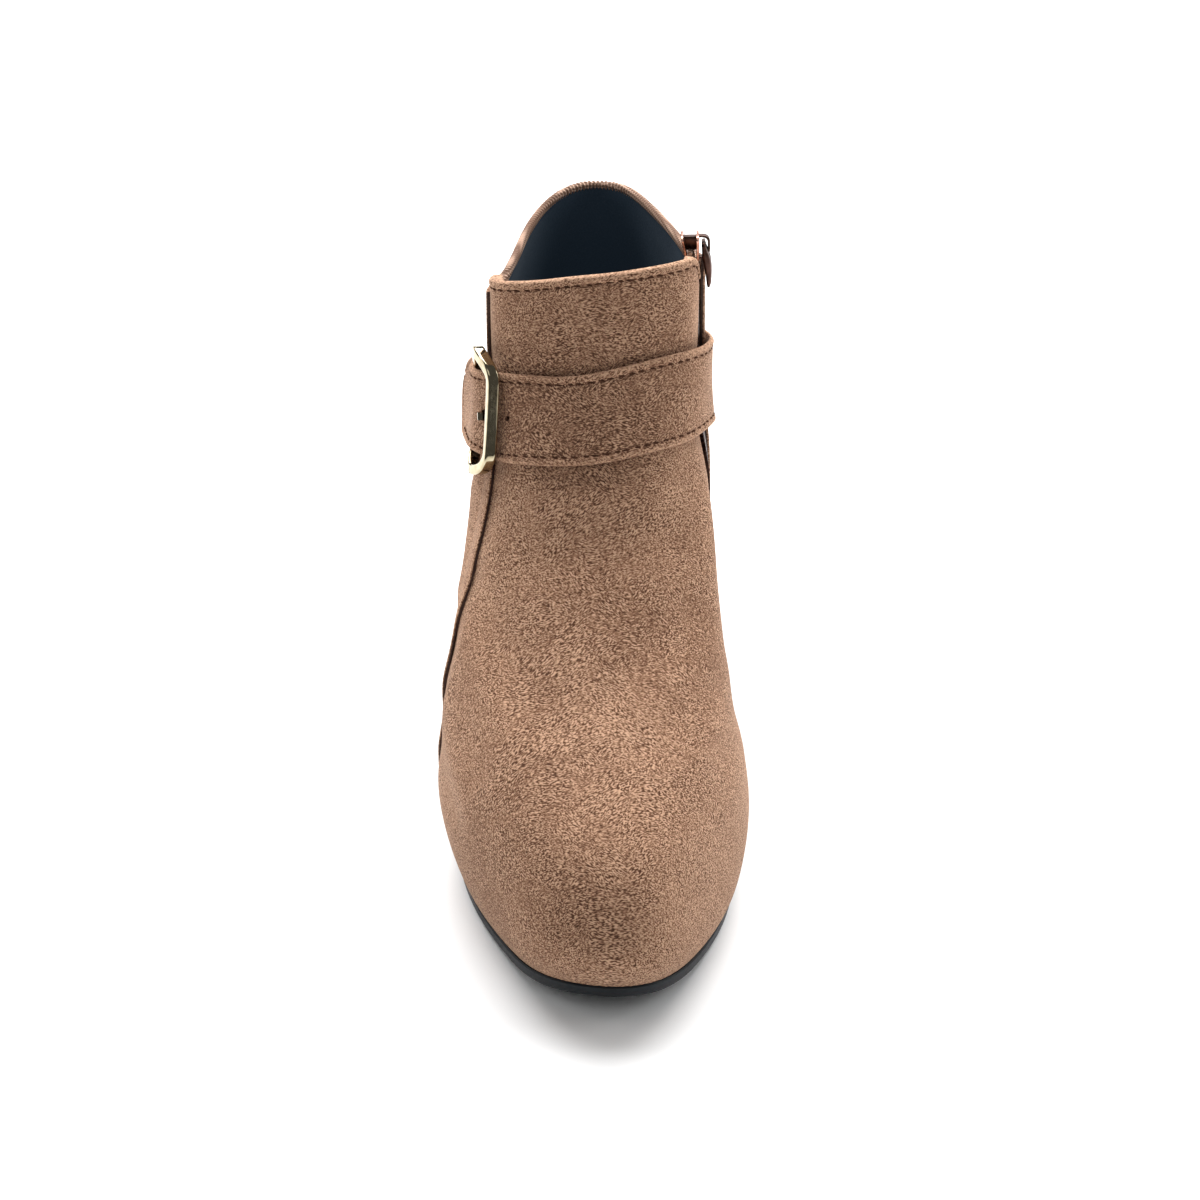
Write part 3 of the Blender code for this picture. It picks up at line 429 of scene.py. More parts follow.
# %% Finishes and their nodes
class Finish:
    """A material and the ways to wire it."""

    def __init__(self, name, **sockets):
        self.material = bpy.data.materials.new(name)
        self.material.use_nodes = True
        self.tree = self.material.node_tree
        self.shader = self.tree.nodes["Principled BSDF"]
        self.set(sockets)

    def node(self, kind, settings, sockets):
        made = self.tree.nodes.new(kind)
        for name, value in settings.items():
            if name == "stops":
                ramp = made.color_ramp
                while len(ramp.elements) < len(value):
                    ramp.elements.new(1.0)
                for element, (place, colour) in zip(ramp.elements, value):
                    element.position = place
                    element.color = (*colour, 1)
            else:
                setattr(made, name, value)
        for name, value in sockets.items():
            self.feed(made.inputs[name], value)
        return made

    def feed(self, socket, value):
        if isinstance(value, Wire):
            self.tree.links.new(value.socket, socket)
        else:
            socket.default_value = value

    def set(self, sockets):
        for name, value in sockets.items():
            if not isinstance(value, Wire) and name.endswith(("Color", "Tint")):
                value = (*value, 1)
            self.feed(self.shader.inputs[name], value)

    def wire(self, kind, settings, sockets, output=0):
        return Wire(self, self.node(kind, settings, sockets).outputs[output])

    def place(self):
        return self.wire("ShaderNodeTexCoord", {}, {}, "Object")

    def stretched(self, place, scale):
        return self.wire("ShaderNodeMapping", {}, {"Vector": place, "Scale": scale})

    def vectors(self, operation, sockets, output=0):
        return self.wire("ShaderNodeVectorMath", {"operation": operation}, sockets, output)

    def noise(self, place, scale, detail=2.0, roughness=0.5, output=0):
        sockets = {"Vector": place, "Scale": scale, "Detail": detail, "Roughness": roughness}
        return self.wire("ShaderNodeTexNoise", {}, sockets, output)

    def nudged(self, place, by, amount):
        moved = self.vectors("SUBTRACT", {0: by, 1: (0.5, 0.5, 0.5)})
        moved = self.vectors("SCALE", {0: moved, "Scale": amount})
        return self.vectors("ADD", {0: place, 1: moved})

    def ramp(self, value, stops):
        return self.wire("ShaderNodeValToRGB", {"stops": stops}, {"Fac": value})

    def attribute(self, name):
        return self.wire("ShaderNodeAttribute", {"attribute_name": name}, {}, "Fac")

    def bumped(self, height, strength, distance):
        sockets = {"Height": height, "Strength": strength, "Distance": distance}
        self.set({"Normal": self.wire("ShaderNodeBump", {}, sockets)})


def linear(red, green, blue):
    """A colour read off a screen, 0 to 255, as the light it stands for."""
    shares = np.array((red, green, blue)) / 255
    light = np.where(shares <= 0.04045, shares / 12.92, ((shares + 0.055) / 1.055) ** 2.4)
    return tuple(float(share) for share in light)


# %% [markdown]
# ## Suede
# Suede is the buffed flesh side of a hide. Its nap lies in short curving lines, some half a millimetre
# apart, brushed one way here and another way there, so it shows light worms on a darker ground and broad
# soft patches. Three noises, each drawn out along its own lay, make the worms, and broad noises choose
# between them. Real hair would cost millions of strands for the same look at this size. A little sheen
# lightens it where it turns away.

# %% Suede finish
NAP_LIGHT = linear(196, 158, 130)
NAP_MIDDLE = linear(136, 101, 79)
NAP_DARK = linear(74, 48, 34)
NAP_SHEEN = linear(240, 214, 192)
NAP_SCALE = 3100.0
NAP_SQUEEZE = 0.64
LAY_DOWN = (0.82, -0.40, -0.40)
LAY_LEVEL = (1.0, 0.0, 0.0)
LAY_UP = (0.80, 0.42, 0.42)
SWIRL_SCALE = 210.0
SWIRL_REACH = 0.0018
FALLING_SCALE = 46.0
RISING_SCALE = 61.0
PATCH_EDGE = 7.0
FLUFF_SCALE = 5200.0
BROAD_SCALE = 24.0
SMUDGE_SCALE = 110.0
WORM_TONE = 3.5
FLUFF_TONE = 0.50
BROAD_TONE = 0.45
SMUDGE_TONE = 0.14
WEAR_AND_HIGHLIGHT_TONE = 0.30


def brushed(finish, place, lay):
    """Noise drawn out along the lay of the nap."""
    along = finish.vectors("DOT_PRODUCT", {0: place, 1: lay}, "Value")
    pulled = finish.vectors("SCALE", {0: lay, "Scale": along * NAP_SQUEEZE})
    drawn = finish.vectors("SUBTRACT", {0: place, 1: pulled})
    return finish.noise(drawn, NAP_SCALE, detail=0.5)


def suede(name, shade=0.0):
    """Suede, a shade lighter or darker than the panel's."""
    finish = Finish(name, **{
        "Roughness": 0.94, "Specular IOR Level": 0.12,
        "Sheen Weight": 0.22, "Sheen Roughness": 0.5, "Sheen Tint": NAP_SHEEN,
    })
    place = finish.place()
    swirl = finish.noise(place, SWIRL_SCALE, detail=1.0, output="Color")
    bent = finish.nudged(place, swirl, SWIRL_REACH)
    falling = ((finish.noise(place, FALLING_SCALE, detail=1.0) - 0.5) * PATCH_EDGE + 0.5).clipped()
    rising = ((finish.noise(place, RISING_SCALE, detail=1.0) - 0.5) * PATCH_EDGE + 0.2).clipped()
    worms = brushed(finish, bent, LAY_DOWN) * falling + brushed(finish, bent, LAY_LEVEL) * (1 - falling)
    worms = brushed(finish, bent, LAY_UP) * rising + worms * (1 - rising)
    broad = finish.noise(place, BROAD_SCALE, roughness=0.45)
    smudge = finish.noise(place, SMUDGE_SCALE)
    fluff = finish.noise(place, FLUFF_SCALE, detail=1.0)
    tone = (worms - 0.5) * WORM_TONE + (fluff - 0.5) * FLUFF_TONE
    tone = tone + (broad - 0.5) * BROAD_TONE + (smudge - 0.5) * SMUDGE_TONE
    # lighter nap near edges: partly wear, partly a painted highlight
    tone = tone + finish.attribute("worn") * WEAR_AND_HIGHLIGHT_TONE + (0.5 + shade)
    finish.set({"Base Color": finish.ramp(tone, [(0.0, NAP_DARK), (0.5, NAP_MIDDLE), (1.0, NAP_LIGHT)])})
    finish.bumped(worms + fluff * 0.3, strength=0.50, distance=0.0003)
    return finish.material


PANEL_SUEDE = suede("panel_suede")
QUARTER_SUEDE = suede("quarter_suede", 0.03)
STRAP_SUEDE = suede("strap_suede_nap", -0.03)
print("suede nodes:", len(PANEL_SUEDE.node_tree.nodes))


# %% [markdown]
# ## The other finishes
# Cut edges are inked dark brown. The lining is a short dark velvet, the sole black rubber with a satin
# face, the buckle pale gold plate, and the zip dark bronze whose slider has lighter copper rims.

# %% Inked edge and velvet
def raw_edge():
    finish = Finish("inked_edge", Roughness=0.8)
    place = finish.place()
    grain = finish.noise(place, 1900.0, detail=3.0, roughness=0.7)
    finish.set({"Base Color": finish.ramp(grain, [(0.25, linear(38, 24, 17)), (0.8, linear(88, 60, 46))])})
    finish.bumped(grain, strength=0.6, distance=0.0004)
    return finish.material


def velvet(name, dark, light, painted_glow):
    """Short pile, with a faint painted glow that lifts its dark shade."""
    finish = Finish(name, **{
        "Roughness": 0.95, "Specular IOR Level": 0.08, "Sheen Weight": 0.03, "Sheen Roughness": 0.4,
        "Emission Color": painted_glow, "Emission Strength": 1.0,
    })
    place = finish.place()
    pile = finish.noise(place, 1500.0, roughness=0.6)
    patch = finish.noise(place, 45.0)
    finish.set({"Base Color": finish.ramp(pile * 0.6 + patch * 0.4, [(0.3, dark), (0.75, light)])})
    finish.bumped(pile, strength=0.4, distance=0.0003)
    return finish.material


# %% Rubber and metal
def rubber(name, dark, light, roughness):
    finish = Finish(name, **{"Specular IOR Level": 0.25})
    place = finish.place()
    grain = finish.noise(place, 900.0, detail=3.0, roughness=0.6)
    cloud = finish.noise(place, 60.0)
    finish.set({
        "Base Color": finish.ramp(cloud * 0.7 + grain * 0.3, [(0.3, dark), (0.75, light)]),
        "Roughness": (grain - 0.5) * 0.25 + roughness,
    })
    finish.bumped(grain, strength=0.18, distance=0.0002)
    return finish.material


def metal(name, dark, light, roughness):
    finish = Finish(name, Metallic=1.0)
    place = finish.place()
    scuffs = finish.noise(finish.stretched(place, (1.0, 1.0, 0.15)), 1800.0, detail=3.0, roughness=0.65)
    tarnish = finish.noise(place, 420.0, detail=3.0, roughness=0.6)
    finish.set({
        "Base Color": finish.ramp(tarnish, [(0.3, dark), (0.7, light)]),
        "Roughness": (scuffs - 0.5) * 0.14 + (tarnish - 0.5) * 0.10 + roughness,
    })
    finish.bumped(scuffs, strength=0.04, distance=0.0001)
    return finish.material


# %% Thread and woven tape
def thread():
    finish = Finish("brown_thread", **{"Roughness": 0.9, "Specular IOR Level": 0.1})
    place = finish.place()
    twist = finish.noise(place, 4200.0)
    finish.set({"Base Color": finish.ramp(twist, [(0.3, linear(44, 26, 17)), (0.75, linear(92, 60, 42))])})
    finish.bumped(twist, strength=0.5, distance=0.0002)
    return finish.material


def woven(name, dark, light, pitch):
    """Woven tape: two sets of ribs, over and under."""
    finish = Finish(name, **{"Roughness": 0.85, "Sheen Weight": 0.15})
    place = finish.place()
    over, under = (
        finish.wire("ShaderNodeTexWave", {"bands_direction": way}, {"Vector": place, "Scale": pitch})
        for way in "ZY"
    )
    weave = over * under + finish.noise(place, 2500.0) * 0.4
    finish.set({"Base Color": finish.ramp(weave, [(0.1, dark), (0.9, light)])})
    finish.bumped(weave, strength=0.5, distance=0.0003)
    return finish.material


# %% The boot's plain finishes
INKED_EDGE = raw_edge()
# the lining and the sock glow faintly: a painted glow standing in for light that reaches the dark inside
LINING = velvet("dark_lining", linear(35, 46, 56), linear(52, 65, 77), linear(14, 20, 26))
SOCK = velvet("sock_cloth", linear(26, 32, 39), linear(42, 50, 59), linear(7, 10, 13))
SOLE_BLACK = rubber("sole_black", linear(8, 12, 16), linear(18, 25, 31), 0.50)
HEEL_BLACK = rubber("heel_black", linear(13, 15, 17), linear(26, 29, 32), 0.40)
GOLD = metal("pale_gold_plate", linear(164, 152, 124), linear(188, 177, 150), 0.09)
BRONZE = metal("dark_bronze_plate", linear(58, 42, 37), linear(88, 64, 56), 0.36)
# lighter copper for the slider's rims
COPPER = metal("copper_rim", linear(206, 150, 130), linear(232, 184, 164), 0.26)
THREAD = thread()
TAPE = woven("zip_tape", linear(62, 41, 31), linear(116, 86, 69), 500.0)
BINDING = woven("collar_binding_cloth", linear(118, 86, 68), linear(216, 180, 156), 260.0)
print("finishes:", len(bpy.data.materials))

# %% [markdown]
# ## Creases
# A boot that has been tried on flexes across the ball and at the ankle, so its suede lies in a few soft
# troughs. They are placed one by one, each between two points of the last, with a depth and a width. Noise
# would scatter them anywhere; a flexed upper always folds across the same lines.

# %% Creases at given places
# level and degrees of the start, level and degrees of the end, depth, width
CREASES = (
    (5.30, -46, 5.05, 4, 0.00050, 0.0065),
    (4.75, 20, 5.05, 62, 0.00060, 0.0060),
    (4.15, -58, 4.55, -20, 0.00045, 0.0060),
    (3.55, 44, 3.95, 76, 0.00060, 0.0050),
    (6.35, -34, 6.20, 30, 0.00055, 0.0075),
    (2.55, 52, 2.90, 74, 0.00045, 0.0045),
    (3.10, -72, 3.45, -48, 0.00045, 0.0050),
    (5.20, 92, 6.10, 112, 0.00060, 0.0060),
    (4.20, 118, 5.40, 138, 0.00055, 0.0065),
    (5.60, -112, 6.30, -134, 0.00055, 0.0065),
)
CREASE_BANK = 0.45


def crease_height(points):
    """How far the suede lies below, or pushed up beside, its plain surface."""
    height = np.zeros(points.shape[:-1])
    for level, degrees, to_level, to_degrees, depth, width in CREASES:
        start = last_point(level, math.radians(degrees))
        end = last_point(to_level, math.radians(to_degrees))
        along = end - start
        share = np.clip(((points - start) @ along) / (along @ along), 0, 1)
        distance = np.linalg.norm(points - start - share[..., None] * along, axis=-1)
        pushed_up = CREASE_BANK * bell(distance - 1.7 * width, 0.8 * width)
        height += depth * (pushed_up - bell(distance, width))
    return height


print("creases:", len(CREASES))


# %% [markdown]
# ## Front panel
# One piece of suede runs from the toe to the collar. Its top is turned in and stitched, which makes a
# soft roll. Its outer side sinks and runs in under the quarter, and its other side ends at the zip. It is
# a shell of two grids: the outer face follows the last at the panel's lift, and a groove runs where the
# thread pulls it down.

# %% Rise of the panel and fullness of the collar
RISE_FOOT = 8.3
# share of the way from the zip to the outer side, rise of the top edge
PANEL_RISE = (
    (0.00, 0.0056), (0.15, 0.0055), (0.30, 0.0052), (0.40, 0.0048), (0.50, 0.0042), (0.60, 0.0033),
    (0.70, 0.0021), (0.85, 0.0007), (1.00, -0.0004),
)
COLLAR_RISE = 0.0005
COLLAR_FULL = 0.0008
FULL_FOOT = 5.0
ARCH_PLACE = math.radians(33)
ARCH_REACH = math.radians(22)
top_outer, top_inner, _ = zone_angles(np.array((float(TOP),)))
RISE_SHARES = np.linspace(0, 1, 60)
RISE_TURNS = ring_angles(np.array((float(TOP),)), top_inner - 2 * math.pi, top_outer, RISE_SHARES)[0][0]
RISE_TURNS = (RISE_TURNS - RISE_TURNS[0]) / (RISE_TURNS[-1] - RISE_TURNS[0])


def panel_rise(levels, angles):
    """How the panel is drawn up towards its top edge, higher on the zip's side than on the outer side."""
    levels, angles = np.broadcast_arrays(levels, angles)
    lateral, panel_edge, _ = zone_angles(levels)
    turned = (angles + math.pi) % (2 * math.pi) - math.pi
    turned = (turned - panel_edge + 2 * math.pi) / (lateral - panel_edge + 2 * math.pi)
    share = np.interp(turned, RISE_TURNS, RISE_SHARES)
    amount = column_at(PANEL_RISE, 1, share) * smooth((levels - RISE_FOOT) / (TOP - RISE_FOOT))
    return unit(last_slopes(levels, angles)[0]) * amount[..., None]


def collar_rise(levels, angles):
    """A little more height and fullness either side of the back, where the collar's arch is round."""
    beside = bell(np.abs(angles - math.pi) - ARCH_PLACE, ARCH_REACH)
    higher = COLLAR_RISE * beside * smooth((levels - RISE_FOOT) / (TOP - RISE_FOOT))
    fuller = COLLAR_FULL * beside * smooth((levels - FULL_FOOT) / (TOP - FULL_FOOT))
    up, out = unit(last_slopes(levels, angles)[0]), wall_normal(levels, angles)
    return up * higher[..., None] + out * fuller[..., None]


# %% Places and heights on the panel
CORNER_COLUMNS = 28
CORNER_DROP = 0.20
CORNER_REACH = 1.2
UNDERLAP = 0.06
LAP_FOOT = 0.5
LAP_EDGE = 0.0013
SINK_RUN = 0.012
TUCK = 0.2


def lapping(levels):
    """The lap fades out at the feather line, where both pieces go in over the sole."""
    return smooth(levels - LAP_FOOT)


def panel_places(levels, shares):
    """Levels and angles of a grid over the panel, and distances in from its seam, the zip and its top."""
    lateral, panel_edge, _ = zone_angles(levels)
    angles, lengths = ring_angles(levels, panel_edge - 2 * math.pi, lateral + UNDERLAP, shares)
    corner = CORNER_DROP * bell(CORNER_COLUMNS * shares, CORNER_REACH)
    grid_levels = levels[:, None] * (1 - corner / TOP)
    top = last_point(TOP - corner[None], angles) + panel_rise(TOP - corner[None], angles)
    from_top = np.linalg.norm(top - last_point(grid_levels, angles) - panel_rise(grid_levels, angles), axis=-1)
    width = np.linalg.norm(last_slopes(levels, lateral)[1], axis=-1)
    from_seam = (lateral[:, None] - angles) * width[:, None]
    return grid_levels, angles, from_seam, shares * lengths[:, None], from_top


def panel_lift(levels, from_seam, from_zip):
    """Height of the panel: lifted in the middle, sunk along its sides and tucked in under the quarter."""
    nearer = np.minimum(np.clip(from_seam, 0, None), from_zip)
    sink = LAP_EDGE * (1 - smooth(nearer / SINK_RUN)) + TUCK * np.clip(-from_seam, 0, None)
    return ring_at(levels)["panel"] - lapping(levels) * sink


# %% The wall's inner face and its edges
PANEL_WALL = 0.0024
QUARTER_WALL = 0.0020
LAP_BLEND = 0.006
LAP_CLEAR = 0.004
SOLE_GAP = 0.0005


def covered_by_panel(levels, angles):
    """1 under the panel's middle, fading to 0 a little way inside its two sides."""
    lateral, panel_edge, _ = zone_angles(levels)
    turned = (angles + math.pi) % (2 * math.pi) - math.pi
    width = np.linalg.norm(last_slopes(levels, angles)[1], axis=-1)
    inside = np.minimum(lateral - turned, turned - (panel_edge - 2 * math.pi)) * width
    return smooth((inside - LAP_CLEAR) / LAP_BLEND)


def inner_wall(levels, angles):
    """Height of the wall's inner face: under the quarter, and under the lifted panel between its edges."""
    covered = covered_by_panel(levels, angles)
    return (ring_at(levels)["panel"] - PANEL_WALL) * covered - QUARTER_WALL * (1 - covered)


def rolled(distance, puff, depth):
    """Height of the soft roll between an edge and the row of stitches."""
    return puff * np.sin(math.pi * np.clip(distance / depth, 0, 1))


def wear_and_highlight_stripe(distance, strength, at, width):
    """Nap lighter in a stripe at a distance in from an edge: partly worn by brushing, partly a painted
    highlight.
    """
    return strength * bell(distance - at, width)


def set_on_sole(grid):
    """Brings the lowest row of a grid down to just over the sole."""
    grid[0, :, 2] = sole_under(grid[0, :, 1]) + SOLE_EDGE + SOLE_GAP
    return grid


# %% Front panel
PANEL_LEVELS = np.concatenate([np.linspace(0, 8.5, 120), np.linspace(8.5, TOP, 56)[1:]])
PANEL_SHARES = packed(132)
PANEL_SKIN = 0.0015
EDGE_ROUND = 0.0006
ROLL_ROUND = 0.0010
ROLL_DEPTH = 0.0027
ROLL_PUFF = 0.0004
GROOVE = 0.00030
GROOVE_WIDTH = 0.0005
LAP = 0.00012
# numbers that shell_faces gives to the faces along a shell's two sides
SIDE_EDGES = (4, 5)

levels, angles, from_seam, from_zip, from_top = panel_places(PANEL_LEVELS, PANEL_SHARES)
plain = last_point(levels, angles)
lift = panel_lift(levels, from_seam, from_zip)
roll = rolled(from_top, ROLL_PUFF, ROLL_DEPTH) - GROOVE * bell(from_top - ROLL_DEPTH, GROOVE_WIDTH)
edges = rounded(from_zip, EDGE_ROUND) + rounded(from_top, ROLL_ROUND)
outer = wall_point(levels, angles, lift + roll - edges + crease_height(plain)) + panel_rise(levels, angles)
folded = 1 - smooth((from_top - ROLL_DEPTH) / ROLL_DEPTH)
under = (lift - PANEL_SKIN) * (1 - folded) + (inner_wall(levels, angles) - LAP) * folded
inner = wall_point(levels, angles, under + rounded(from_top, ROLL_ROUND)) + panel_rise(levels, angles)
faces, part = shell_faces(*levels.shape)
# lighter nap along the top roll and the zip edge: partly worn nap, partly a painted highlight
worn = wear_and_highlight_stripe(from_top, 0.8, at=0.0006, width=0.0013) + wear_and_highlight_stripe(from_zip, 0.4, at=0.0012, width=0.0009)
new_piece(
    "front_panel", [set_on_sole(outer), set_on_sole(inner)], faces, [PANEL_SUEDE, INKED_EDGE],
    stands_for=["upper"], slot="suede", look=np.isin(part, SIDE_EDGES), marks={"worn": np.stack([worn, worn])},
)

# %% [markdown]
# ## Quarter
# The quarter wraps the heel from the outer side to the zip. Its front edge is cut, inked dark and laps
# over the panel, so it swells there by the panel's thickness, and so it does beside the zip, where it is
# turned and stitched. A back seam joins its halves: a fine groove runs down the middle of the heel.

# %% Quarter
QUARTER_LEVELS = np.concatenate([np.linspace(0, 8.6, 96), np.linspace(8.6, TOP, 24)[1:]])
QUARTER_SHARES = packed(170, 0.8)
QUARTER_COLUMNS = 40
QUARTER_REACH = 2.4
QUARTER_SKIN = 0.0012
QUARTER_EDGE = 0.0003
LAP_RUN = 0.011
BACK_GROOVE = 0.00035
BACK_GROOVE_WIDTH = 0.0007
ZIP_FOLD = 0.0005
ZIP_PUFF = 0.0003


def quarter_places(levels, shares):
    """Levels and angles of a grid over the quarter, and distances in from its front edge and from the zip."""
    lateral, _, channel = zone_angles(levels)
    angles, lengths = ring_angles(levels, lateral, channel, shares)
    corner = CORNER_DROP * bell(QUARTER_COLUMNS * shares, QUARTER_REACH)
    lengths = lengths[:, None]
    return levels[:, None] * (1 - corner / TOP), angles, shares * lengths, (1 - shares) * lengths


def quarter_swell(levels, from_seam, from_zip):
    """Height of the quarter: up over the panel's side and beside the zip, down on the last between."""
    down = smooth(np.minimum(from_seam, from_zip) / LAP_RUN)
    return ring_at(levels)["panel"] * lapping(levels) * (1 - down)


levels, angles, from_seam, from_zip = quarter_places(QUARTER_LEVELS, QUARTER_SHARES)
plain = last_point(levels, angles)
swell = quarter_swell(levels, from_seam, from_zip)
from_back = np.abs(angles - math.pi) * np.linalg.norm(plain[..., :2], axis=-1)
fold = rolled(from_zip, ZIP_PUFF, ROLL_DEPTH) - rounded(from_zip, ZIP_FOLD)
edge = rounded(from_seam, QUARTER_EDGE)
back_seam = BACK_GROOVE * bell(from_back, BACK_GROOVE_WIDTH)
drawn = collar_rise(levels, angles)
outer = wall_point(levels, angles, swell + fold - edge + crease_height(plain) - back_seam) + drawn
inner = wall_point(levels, angles, swell - QUARTER_SKIN) + drawn
faces, part = shell_faces(*levels.shape)
# lighter nap by the front edge, the zip and the back seam: partly worn nap, partly a painted highlight
worn = (
    wear_and_highlight_stripe(from_zip, 0.5, at=0.0008, width=0.0009)
    + wear_and_highlight_stripe(from_seam, 0.6, at=0.0007, width=0.0007)
    + wear_and_highlight_stripe(from_back, 0.25, at=0.0008, width=0.0008)
)
new_piece(
    "quarter", [set_on_sole(outer), set_on_sole(inner)], faces, [QUARTER_SUEDE, INKED_EDGE],
    stands_for=["upper"], slot="suede", look=np.isin(part, SIDE_EDGES), marks={"worn": np.stack([worn, worn])},
)

# %% [markdown]
# ## Lining
# Inside, a dark velvet lining covers the wall from just under the collar's edge down to the sock. It is
# one closed ring, a thin shell on the inner face of the wall.

# %% Lining
LINING_LEVELS = np.concatenate([np.linspace(0, 8.2, 60), np.linspace(8.2, 8.94, 14)[1:]])
LINING_COLUMNS = 150
LINING_THICK = 0.0005
PLACKET = 0.26
PLACKET_SEAM = 0.0005
PLACKET_RUN = 0.0015
PLACKET_BEAD = 0.35

shares = np.linspace(0, 1, LINING_COLUMNS + 1)[:-1]
zero = np.zeros(len(LINING_LEVELS))
angles, _ = ring_angles(LINING_LEVELS, zero, zero + 2 * math.pi, shares)
lateral, _, channel = zone_angles(LINING_LEVELS[:, None])
corner = CORNER_DROP * bell(QUARTER_COLUMNS * (angles - lateral) / (channel - lateral), QUARTER_REACH)
levels = LINING_LEVELS[:, None] * (1 - corner / TOP)
depth = inner_wall(levels, angles)
width = np.linalg.norm(last_slopes(levels, angles)[1], axis=-1)
beside_zip = (zone_angles(levels)[2] - PLACKET - angles) * width
bead = PLACKET_BEAD * bell(beside_zip - 0.002, 0.0008)
depth = depth - PLACKET_SEAM * (smooth(beside_zip / PLACKET_RUN + 0.5) - bead - 1)
drawn = panel_rise(levels, angles) * covered_by_panel(levels, angles)[..., None]
drawn = drawn + collar_rise(levels, angles)
outer = wall_point(levels, angles, depth + LINING_THICK) + drawn
inner = wall_point(levels, angles, depth) + drawn
faces, _ = shell_faces(*levels.shape, wrap=True)
new_piece("lining", [set_on_sole(outer), set_on_sole(inner)], faces, LINING, ["upper"], "sock_lining")

# %% [markdown]
# ## Collar binding
# Round the back of the collar the wall's top edge is bound with a ribbed tape. It is a round section
# swept along the collar, with its radius rippled on the slant so that the ribs catch the light as woven
# cord does.

# %% Collar binding
BINDING_STEPS = 1000
BINDING_SIDES = 18
BINDING_OVER = 0.0002
BINDING_TALL = 0.0014
BINDING_DROP = 0.0008
BINDING_START = 0.0022
BINDING_TAPER = 0.003
RIB_PITCH = 0.0013
RIB_DEPTH = 0.00022
RIB_SLANT = 1.6
THINNEST = 0.05

fine_shares = np.linspace(0, 1, 4 * BINDING_STEPS)
levels, angles, from_seam, from_zip = quarter_places(np.array((float(TOP),)), fine_shares)
swell = quarter_swell(levels, from_seam, from_zip)
rough = wall_point(levels, angles, (swell - QUARTER_WALL) / 2)[0]
run = run_along(rough)
even_run = np.linspace(np.interp(BINDING_START, from_seam[0], run), run[-1], BINDING_STEPS)
level, angle, swell, reach = read_along(run, even_run, levels[0], angles[0], swell[0], from_seam[0]).T
centre = wall_point(level, angle, (swell - QUARTER_WALL) / 2) + collar_rise(level, angle)
out = wall_normal(level, angle)
along = unit(np.gradient(centre, axis=0))
up = unit(np.cross(along, out))
up = up * np.sign(up[:, 2:])
half = ((swell + QUARTER_WALL) / 2 + BINDING_OVER)[:, None]
tall = BINDING_TALL * np.sqrt(np.clip((reach - BINDING_START) / BINDING_TAPER, THINNEST, 1))[:, None]
turn = np.linspace(0, 2 * math.pi, BINDING_SIDES, endpoint=False)
wave = np.sin(2 * math.pi * even_run[:, None] / RIB_PITCH + RIB_SLANT * np.cos(turn)[None])
ribs = 1 + RIB_DEPTH / BINDING_TALL * wave
rings = (
    centre[:, None]
    + out[:, None] * (half * ribs * np.cos(turn))[..., None]
    + up[:, None] * (tall * ribs * np.sin(turn) - BINDING_DROP)[..., None]
)
lofted("collar_binding", rings, BINDING, ["upper"], "suede")

# %% [markdown]
# ## Stitches
# Thread shows as short dark dashes that dip in at both ends. Each stitch is a small bead stretched along
# the seam, and one row is one mesh, so a seam stays one piece to move or recolour.

# %% Stitch rows
STITCH = 0.0024
STITCH_GAP = 0.0007
THREAD_HALF = 0.00034
BEAD_STEPS = 7
BEAD_SIDES = 8
UNEVEN = 2.3
UNEVEN_START = 0.08
UNEVEN_LONG = 0.10
THIN_END = 0.45
SLANT = 0.00016
BOW = 0.00026
DIP = 0.00014


def stitch_row(name, points, normals, slot="suede"):
    """Stitches along a line of points lying on a surface with these normals."""
    points, normals = np.asarray(points), np.asarray(normals)
    run = run_along(points)
    starts = np.arange(0, run[-1] - STITCH, STITCH + STITCH_GAP)
    shares = np.linspace(0, 1, BEAD_STEPS)
    turn = np.linspace(0, 2 * math.pi, BEAD_SIDES, endpoint=False)
    verts, faces = [], []
    for number, start in enumerate(starts):
        uneven = math.sin(UNEVEN * number)
        at = start + (UNEVEN_START * uneven + shares * (1 - UNEVEN_LONG + UNEVEN_LONG * uneven)) * STITCH
        middle = read_along(run, at, *points.T)
        rise = unit(read_along(run, at, *normals.T))
        ahead = unit(np.gradient(middle, axis=0))
        across = unit(np.cross(ahead, rise))
        bow = np.sin(math.pi * shares)
        thick = THREAD_HALF * (THIN_END + (1 - THIN_END) * np.sqrt(bow))
        middle = middle + rise * (BOW * bow - DIP)[:, None] + across * (SLANT * (2 * shares - 1))[:, None]
        ring = (
            middle[:, None]
            + across[:, None] * (thick[:, None] * np.cos(turn))[..., None]
            + rise[:, None] * (thick[:, None] * np.sin(turn))[..., None]
        )
        first = len(verts) * BEAD_STEPS * BEAD_SIDES
        faces += [[first + i for i in face] for face in loft_faces(BEAD_STEPS, BEAD_SIDES)]
        verts.append(ring)
    return new_piece(name, np.array(verts), faces, THREAD, slot=slot)


# %% Stitches of the panel and the quarter
TOP_ROW = (0.016, 0.955)
ZIP_ROW = (1.2, 8.85)

row_shares = np.linspace(*TOP_ROW, 400)
levels, angles, from_seam, from_zip, from_top = panel_places(np.linspace(RISE_FOOT, TOP, 90), row_shares)
row = np.argmin(np.abs(from_top - ROLL_DEPTH), axis=0)
pick = (row, np.arange(len(row_shares)))
points = wall_point(levels[pick], angles[pick], panel_lift(levels, from_seam, from_zip)[pick] - GROOVE)
points = points + panel_rise(levels[pick], angles[pick])
stitch_row("panel_top_stitches", points, wall_normal(levels[pick], angles[pick]))

